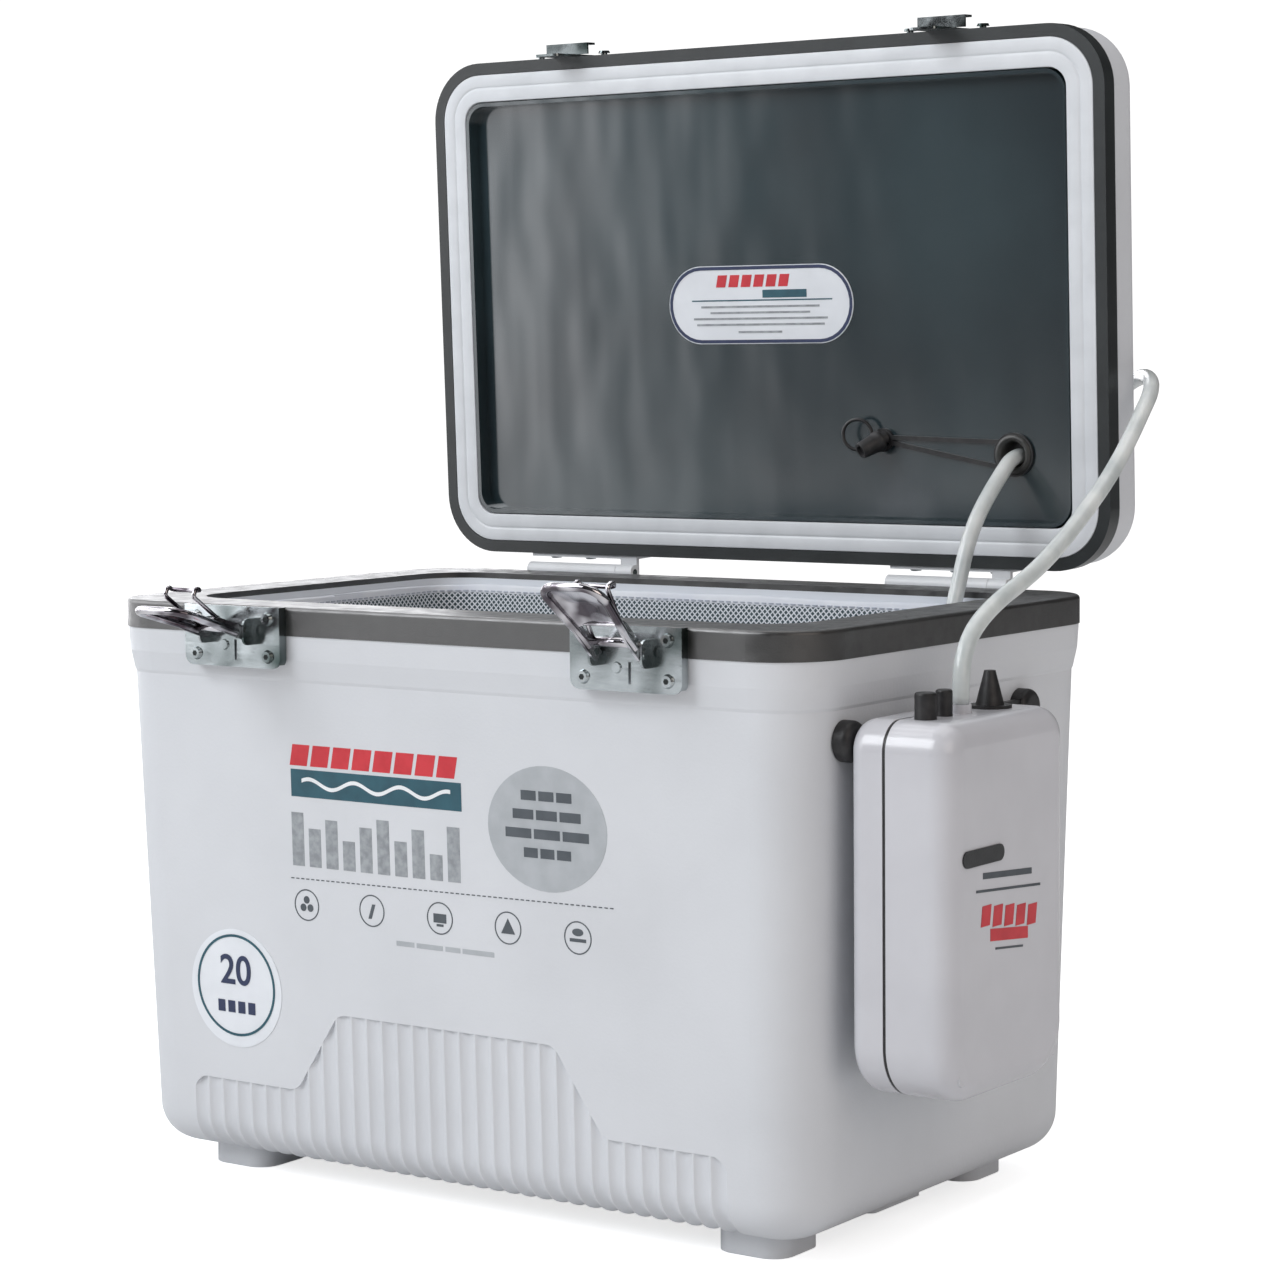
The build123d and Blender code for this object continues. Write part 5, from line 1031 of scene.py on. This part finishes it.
lid_grey, lid_shader = new_material("lid_dark_grey", screen(40, 53, 58), 0.16, specular=1.0)
lid_shader.inputs["IOR"].default_value = 1.7
# The large soft lighter and darker clouds in the panel's colour are painted reflection of light patches. The
# slow waves in its skin come from the bump below.
mottle(lid_grey, lid_shader, screen(32, 45, 50), screen(47, 62, 67), 0.15, span=(0.4, 0.62))
grain(lid_grey, lid_shader, 0.05, 0.0005, detail=1.0, stretch=(1.5, 1, 0.6))
finish_nodes(lid_grey, "lid_grey", "lid_panel")
frame_grey, frame_shader = new_material("lid_frame_grey", screen(33, 37, 38), 0.34, specular=0.6)
mottle(frame_grey, frame_shader, screen(29, 33, 34), screen(38, 42, 43), 0.02)
grain(frame_grey, frame_shader, 0.0009, 0.00006)
finish_nodes(frame_grey, "lid_grey", "lid_trim")

# ---- Lid label: printed oval with a dark rim and generic lines, on the inner panel ----
# The lid stands open in the photograph, so its pieces are drawn shut and turned about the hinge.

LID_WIDTH = 0.425
LID_DEPTH = 0.275
LID_CORNER = 0.032
LID_SWING = radians(-88)
HINGE_LINE = Vector((0, 0.1465, 0.292))
LABEL_FACE_Z = 0.2999
LABEL_SINK = 0.00005
LID_TURN = Matrix.Rotation(LID_SWING, 4, "X")
label_origin = HINGE_LINE + LID_TURN @ (Vector((0, 0, LABEL_FACE_Z - LABEL_SINK)) - HINGE_LINE)
label_up = LID_TURN @ Vector((0, -1, 0))
opened = Matrix.Translation(HINGE_LINE) @ LID_TURN @ Matrix.Translation(-HINGE_LINE)


def label_ink(name, polygons, material):
    """Ink on the lid label, in millimetres from its centre, upright with the lid open."""
    mesh = prism(name, polygons, label_origin, (1, 0, 0), label_up, INK_DEPTH)
    ink = add_piece(name, mesh, material, smooth=False)
    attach(ink, "lid")


label_ink("label_rim", band(slot_outline(56.8, 18.8), slot_outline(58.6, 20.6)), ink_navy)
label_ink("label_red", [bar(x, 9.5, x + 6.0, 16.0, 1.4) for x in (-28, -20, -12, -4, 4, 12)], ink_red)
label_ink("label_blue", [bar(2, 3.6, 30, 7.8), bar(-44, 2.0, 46, 2.7)], ink_teal)
line_places = ((-1.6, 0), (-4.8, 6), (-8.0, -5), (-11.2, -3), (-15.2, 24))
label_lines = [bar(-38 + inset, y, 38 - inset, y + 1.1) for y, inset in line_places]
label_ink("label_lines", label_lines, ink_grey)

# ---- Seal: white rubber ring in the lid's frame ----
# Two flat bands with one soft groove between them, moulded in one piece and pressed into the
# frame's channel. The tub's rim bears on it with the lid shut.

SEAL_INSET = 0.0066
SEAL_CORNER = LID_CORNER - SEAL_INSET
SEAL_FACE_Z = 0.2923
SEAL_STEP = 0.003
seal_white, seal_shader = new_material("seal_white_rubber", screen(214, 217, 221), 0.45)
mottle(seal_white, seal_shader, screen(210, 213, 217), screen(218, 221, 225), 0.02)
grain(seal_white, seal_shader, 0.001, 0.00003)
seal_section = [(0.0, 3.8), (0.0, 0.4), (0.12, 0.12), (0.5, 0.0), (6.1, 0.0), (6.6, 0.15), (7.0, 0.5)]
seal_section += [(7.4, 0.55), (7.9, 0.2), (8.5, 0.05), (14.5, 0.05), (14.88, 0.17), (15.0, 0.45), (15.0, 3.8)]
seal_ring = rounded_ring(LID_WIDTH - 2 * SEAL_INSET, LID_DEPTH - 2 * SEAL_INSET, SEAL_CORNER, SEAL_STEP)
seal_rows = [
    [point - normal * inward * MM + Vector((0, 0, SEAL_FACE_Z + up * MM)) for inward, up in seal_section]
    for point, normal in zip(seal_ring, ring_normals(seal_ring))
]
seal_mesh = looped_mesh("seal", seal_rows)
seal_mesh.transform(opened)
seal = add_piece("seal", seal_mesh, seal_white)
seal_mesh.set_sharp_from_angle(angle=radians(50))
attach(seal, "lid")
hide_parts("lid_gasket")

# ---- Rubber: hose port in the lid, its plug on a strap, and the pump's caps, knobs and seal ----
# All are moulded black rubber, and the port is a little greyer. The port is buttoned into a hole
# through the lid. The plug is tied to it by the strap and has a ring to pull it by.

rubber, rubber_shader = new_material("black_rubber", screen(30, 30, 32), 0.46)
mottle(rubber, rubber_shader, screen(24, 24, 26), screen(42, 41, 42), 0.005)
grain(rubber, rubber_shader, 0.0008, 0.00006)
finish_nodes(
    rubber,
    "black_rubber",
    "plug_strap",
    "hanger_knobs",
    "jack_cap",
    "inlet_filter",
    "pump_seal",
    "pump_diaphragm",
)

PLUG_X = 0.076
PLUG_Y = 0.072
PLUG_FOOT_Z = 0.2965
PLUG_LEAN = (-0.42, 0.38, -0.82)
PULL_OFFSET = (-0.0125, -0.0030, -0.0012)
PULL_R = 0.0080
PULL_WIRE_R = 0.00095
PULL_DROOP = 0.0014
PULL_SIDES = 48


def turned_mesh(name, profile, centre, sides):
    """A solid turned about z through centre, from (radius, z) points: axis to axis, or a closed loop."""
    bm = bmesh.new()
    rings = []
    for radius, z in profile:
        ring = []
        for k in range(sides if radius else 1):
            angle = 2 * pi * k / sides
            ring.append(bm.verts.new((centre[0] + radius * cos(angle), centre[1] + radius * sin(angle), z)))
        rings.append(ring)
    pairs = list(zip(rings, rings[1:]))
    if len(rings[0]) > 1:
        pairs.append((rings[-1], rings[0]))
    for one, two in pairs:
        for k in range(sides):
            m = (k + 1) % sides
            corners = [one[k], one[m]] if len(one) > 1 else [one[0]]
            corners += [two[m], two[k]] if len(two) > 1 else [two[0]]
            bm.faces.new(corners)
    return closed_mesh(name, bm)


plug_profile = [(0, 3.6), (3.4, 3.6), (3.4, 0), (5.6, -0.2), (5.8, -0.8), (5.8, -2.2), (5.3, -2.8)]
plug_profile += [(4.9, -7.0), (4.5, -12.2), (4.0, -13.4), (3.0, -13.4), (2.6, -11.5), (0, -11.5)]
plug_points = [(radius * MM, PLUG_FOOT_Z + up * MM) for radius, up in plug_profile]
plug_body = turned_mesh("plug_body", plug_points, (PLUG_X, PLUG_Y), 40)
plug_foot = Matrix.Translation((PLUG_X, PLUG_Y, PLUG_FOOT_Z))
plug_lean = Vector((0, 0, -1)).rotation_difference(Vector(PLUG_LEAN)).to_matrix().to_4x4()
plug_body.transform(plug_foot @ plug_lean @ plug_foot.inverted())
pull_centre = Vector([start + step for start, step in zip((PLUG_X, PLUG_Y, PLUG_FOOT_Z), PULL_OFFSET)])
pull_points = []
for k in range(PULL_SIDES):
    angle = 2 * pi * k / PULL_SIDES
    bow = Vector((PULL_R * cos(angle), PULL_R * sin(angle), -PULL_DROOP * (1 - cos(angle))))
    pull_points.append(pull_centre + bow)
pull_ring = tube_mesh("pull_ring", pull_points, PULL_WIRE_R, 12, closed=True)
plug_mesh = joined_mesh("plug", plug_body, pull_ring)
plug_mesh.transform(opened)
plug = add_piece("plug", plug_mesh, rubber)
plug_mesh.set_sharp_from_angle(angle=radians(40))
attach(plug, "lid")
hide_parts("port_plug")

port_rubber, port_shader = new_material("port_rubber", screen(54, 54, 53), 0.42)
mottle(port_rubber, port_shader, screen(48, 48, 47), screen(62, 62, 60), 0.005)
grain(port_rubber, port_shader, 0.0008, 0.00005)
PORT_X = 0.154
PORT_Y = 0.079
PORT_BORE_R = 0.0070
PORT_NECK_R = 0.0086
PORT_FOOT_R = 0.0106
PORT_FLANGE_R = 0.0107
PORT_FLANGE_H = 0.0020
PORT_EDGE = 0.0005
PORT_LIP_R = 0.0018
PORT_LIP_RING = 0.0088
PORT_LIP_SINK = 0.0011
PORT_LIP_STEPS = 12
PANEL_Z = 0.3003
CROWN_Z = 0.3311
port_profile = []
for k in range(PORT_LIP_STEPS + 1):
    angle = pi * k / PORT_LIP_STEPS
    lip_z = PANEL_Z - PORT_LIP_SINK - PORT_LIP_R * sin(angle)
    port_profile.append((PORT_LIP_RING - PORT_LIP_R * cos(angle), lip_z))
flange_top = CROWN_Z + PORT_FLANGE_H
port_profile += [(PORT_FOOT_R, PANEL_Z), (PORT_NECK_R, PANEL_Z), (PORT_NECK_R, CROWN_Z)]
port_profile += [(PORT_FLANGE_R, CROWN_Z), (PORT_FLANGE_R, flange_top - PORT_EDGE)]
port_profile += [(PORT_FLANGE_R - PORT_EDGE, flange_top), (PORT_BORE_R + PORT_EDGE, flange_top)]
port_profile += [(PORT_BORE_R, flange_top - PORT_EDGE)]
port_mesh = turned_mesh("port", port_profile, (PORT_X, PORT_Y), 56)
port_mesh.transform(opened)
port = add_piece("port", port_mesh, port_rubber)
port_mesh.set_sharp_from_angle(angle=radians(40))
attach(port, "lid")
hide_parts("port_grommet")

boot_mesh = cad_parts["switch_boot"].data.copy()
boot = add_piece("boot", boot_mesh, rubber)
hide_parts("switch_boot")
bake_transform(boot)

# ---- Air pump: two glossy white case halves on a black bar, with the works and cells inside ----
# The halves are moulded plastic, screwed together over a seal. A clip on the back hooks over the
# bar. The badge and the print are on the face that looks away from the tub.

black_plastic, black_shader = new_material("black_plastic", screen(32, 33, 35), 0.36)
mottle(black_plastic, black_shader, screen(28, 29, 31), screen(38, 39, 41), 0.006)
grain(black_plastic, black_shader, 0.0009, 0.00005)
finish_nodes(
    black_plastic,
    "black_plastic",
    "pump_hanger",
    "pump_clip",
    "valve_block",
    "pump_rod",
    "switch_body",
    "pump_badge",
)

pump_white, pump_shader = new_material("glossy_white", screen(196, 196, 201), 0.24)
pump_shader.inputs["Coat Weight"].default_value = 0.25
pump_shader.inputs["Coat Roughness"].default_value = 0.12
mottle(pump_white, pump_shader, screen(193, 193, 198), screen(199, 199, 204), 0.05)
grain(pump_white, pump_shader, 0.006, 0.00005)
finish_nodes(pump_white, "pump_white", "pump_back_shell", "pump_front_shell", "air_outlet")

cell_wrap, cell_shader = new_material("cell_wrap", screen(190, 150, 70), 0.3, metallic=0.7)
mottle(cell_wrap, cell_shader, screen(180, 138, 60), screen(205, 168, 90), 0.02)
finish_nodes(cell_wrap, "cell", "battery_cells")

PUMP_FACE = Vector((0.27005, 0, 0))


def pump_ink(name, polygons, material):
    """Ink on the pump's face, in millimetres of y and z."""
    mesh = prism(name, polygons, PUMP_FACE, (0, 1, 0), (0, 0, 1), INK_DEPTH)
    ink = add_piece(name, mesh, material, smooth=False)
    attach(ink, "root")


PUMP_PRINT_LEFT = -86
PUMP_PRINT_SLOPE = 0.12
pump_bars = []
for y in (PUMP_PRINT_LEFT, -75.6, -65.2, -54.8, -44.4):
    fall = PUMP_PRINT_SLOPE * (y - PUMP_PRINT_LEFT)
    pump_bars.append(bar(y, 160.4 - fall, y + 8.0, 169.6 - fall, 1.5))
pump_ink("pump_red", pump_bars, ink_red)
pump_ink("pump_red_bar", [[(-77.5, 153.0), (-43.5, 149.6), (-43.5, 155.0), (-77.5, 158.6)]], ink_red)
pump_lines = [[(-84, 181.6), (-40, 178.4), (-40, 181.2), (-84, 184.4)]]
pump_lines += [[(-90, 176.2), (-32, 172.0), (-32, 173.2), (-90, 177.4)]]
pump_lines += [[(-73, 148.6), (-48, 146.2), (-48, 147.2), (-73, 149.6)]]
pump_ink("pump_lines", pump_lines, ink_dark)

# ---- Floor, backdrop and light: plain pale floor, white surroundings, three soft lamps ----
# The floor is lifted for the camera's own rays only, so that it reads as white paper. The
# surroundings have soft bright and dark fields for what shines to mirror.

floor_material, floor_shader = new_material("pale_floor", (0.82, 0.82, 0.82, 1), 0.8)
floor_nodes, floor_links = floor_material.node_tree.nodes, floor_material.node_tree.links
floor_ray = floor_nodes.new("ShaderNodeLightPath")
floor_shader.inputs["Emission Color"].default_value = (1, 1, 1, 1)
PAPER_LIFT = 0.7
floor_lift = math_step(floor_nodes, floor_links, "MULTIPLY", floor_ray.outputs["Is Camera Ray"], PAPER_LIFT)
floor_links.new(floor_lift, floor_shader.inputs["Emission Strength"])
floor_mesh = bpy.data.meshes.new("floor")
FLOOR_HALF = 2.6
floor_sides = ((-1, -1), (1, -1), (1, 1), (-1, 1))
floor_mesh.from_pydata([(x * FLOOR_HALF, y * FLOOR_HALF, 0) for x, y in floor_sides], [], [(0, 1, 2, 3)])
floor = add_piece("floor", floor_mesh, floor_material, smooth=False)

world = bpy.data.worlds.new("studio")
scene.world = world
world.use_nodes = True
world_nodes, world_links = world.node_tree.nodes, world.node_tree.links
world_out = world_nodes["World Output"]
plain_sky = world_nodes["Background"]
plain_sky.inputs["Color"].default_value = (0.97, 0.98, 1.0, 1)
plain_sky.inputs["Strength"].default_value = 0.42
shine_sky = world_nodes.new("ShaderNodeBackground")
shine_sky.inputs["Strength"].default_value = 1.0
white_sky = world_nodes.new("ShaderNodeBackground")
white_sky.inputs["Color"].default_value = (1, 1, 1, 1)
white_sky.inputs["Strength"].default_value = 1.1
sky_place = world_nodes.new("ShaderNodeTexCoord")
sky_noise = world_nodes.new("ShaderNodeTexNoise")
sky_noise.inputs["Scale"].default_value = 5.5
sky_noise.inputs["Detail"].default_value = 1.5
world_links.new(sky_place.outputs["Generated"], sky_noise.inputs["Vector"])
sky_ramp = world_nodes.new("ShaderNodeValToRGB")
sky_ramp.color_ramp.elements[0].position = 0.36
sky_ramp.color_ramp.elements[0].color = (0.05, 0.055, 0.06, 1)
sky_ramp.color_ramp.elements[1].position = 0.62
sky_ramp.color_ramp.elements[1].color = (1.25, 1.25, 1.28, 1)
world_links.new(sky_noise.outputs["Fac"], sky_ramp.inputs["Fac"])
sky_side = world_nodes.new("ShaderNodeVectorMath")
sky_side.operation = "DOT_PRODUCT"
sky_side.inputs[1].default_value = (-1.0, 0.0, 0.15)
world_links.new(sky_place.outputs["Generated"], sky_side.inputs[0])
sky_gain = world_nodes.new("ShaderNodeMapRange")
sky_gain.inputs["From Min"].default_value = 0.56
sky_gain.inputs["From Max"].default_value = 0.64
sky_gain.inputs["To Min"].default_value = 0.1
sky_gain.inputs["To Max"].default_value = 3.8
world_links.new(sky_side.outputs["Value"], sky_gain.inputs["Value"])
world_links.new(sky_ramp.outputs["Color"], shine_sky.inputs["Color"])
world_links.new(sky_gain.outputs["Result"], shine_sky.inputs["Strength"])
sky_ray = world_nodes.new("ShaderNodeLightPath")
mix_shine = world_nodes.new("ShaderNodeMixShader")
mix_camera = world_nodes.new("ShaderNodeMixShader")
world_links.new(sky_ray.outputs["Is Glossy Ray"], mix_shine.inputs["Fac"])
world_links.new(plain_sky.outputs["Background"], mix_shine.inputs[1])
world_links.new(shine_sky.outputs["Background"], mix_shine.inputs[2])
world_links.new(sky_ray.outputs["Is Camera Ray"], mix_camera.inputs["Fac"])
world_links.new(mix_shine.outputs["Shader"], mix_camera.inputs[1])
world_links.new(white_sky.outputs["Background"], mix_camera.inputs[2])
world_links.new(mix_camera.outputs["Shader"], world_out.inputs["Surface"])


def area_light(name, place, target, size, power, colour):
    """A soft square lamp at a place, pointed at a target."""
    data = bpy.data.lights.new(name, "AREA")
    data.shape = "SQUARE"
    data.size = size
    data.energy = power
    data.color = colour
    lamp = bpy.data.objects.new(name, data)
    scene.collection.objects.link(lamp)
    lamp.location = place
    lamp.rotation_euler = (Vector(target) - Vector(place)).to_track_quat("-Z", "Y").to_euler()


area_light("key", (-1.2, -2.2, 2.0), (0, 0, 0.25), 1.6, 52, (0.94, 0.97, 1.0))
area_light("fill", (2.4, -1.0, 1.4), (0, 0, 0.25), 1.8, 14, (1.0, 0.88, 0.8))
area_light("top", (0.0, 0.4, 2.6), (0, 0, 0.3), 2.0, 16, (1.0, 1.0, 1.0))
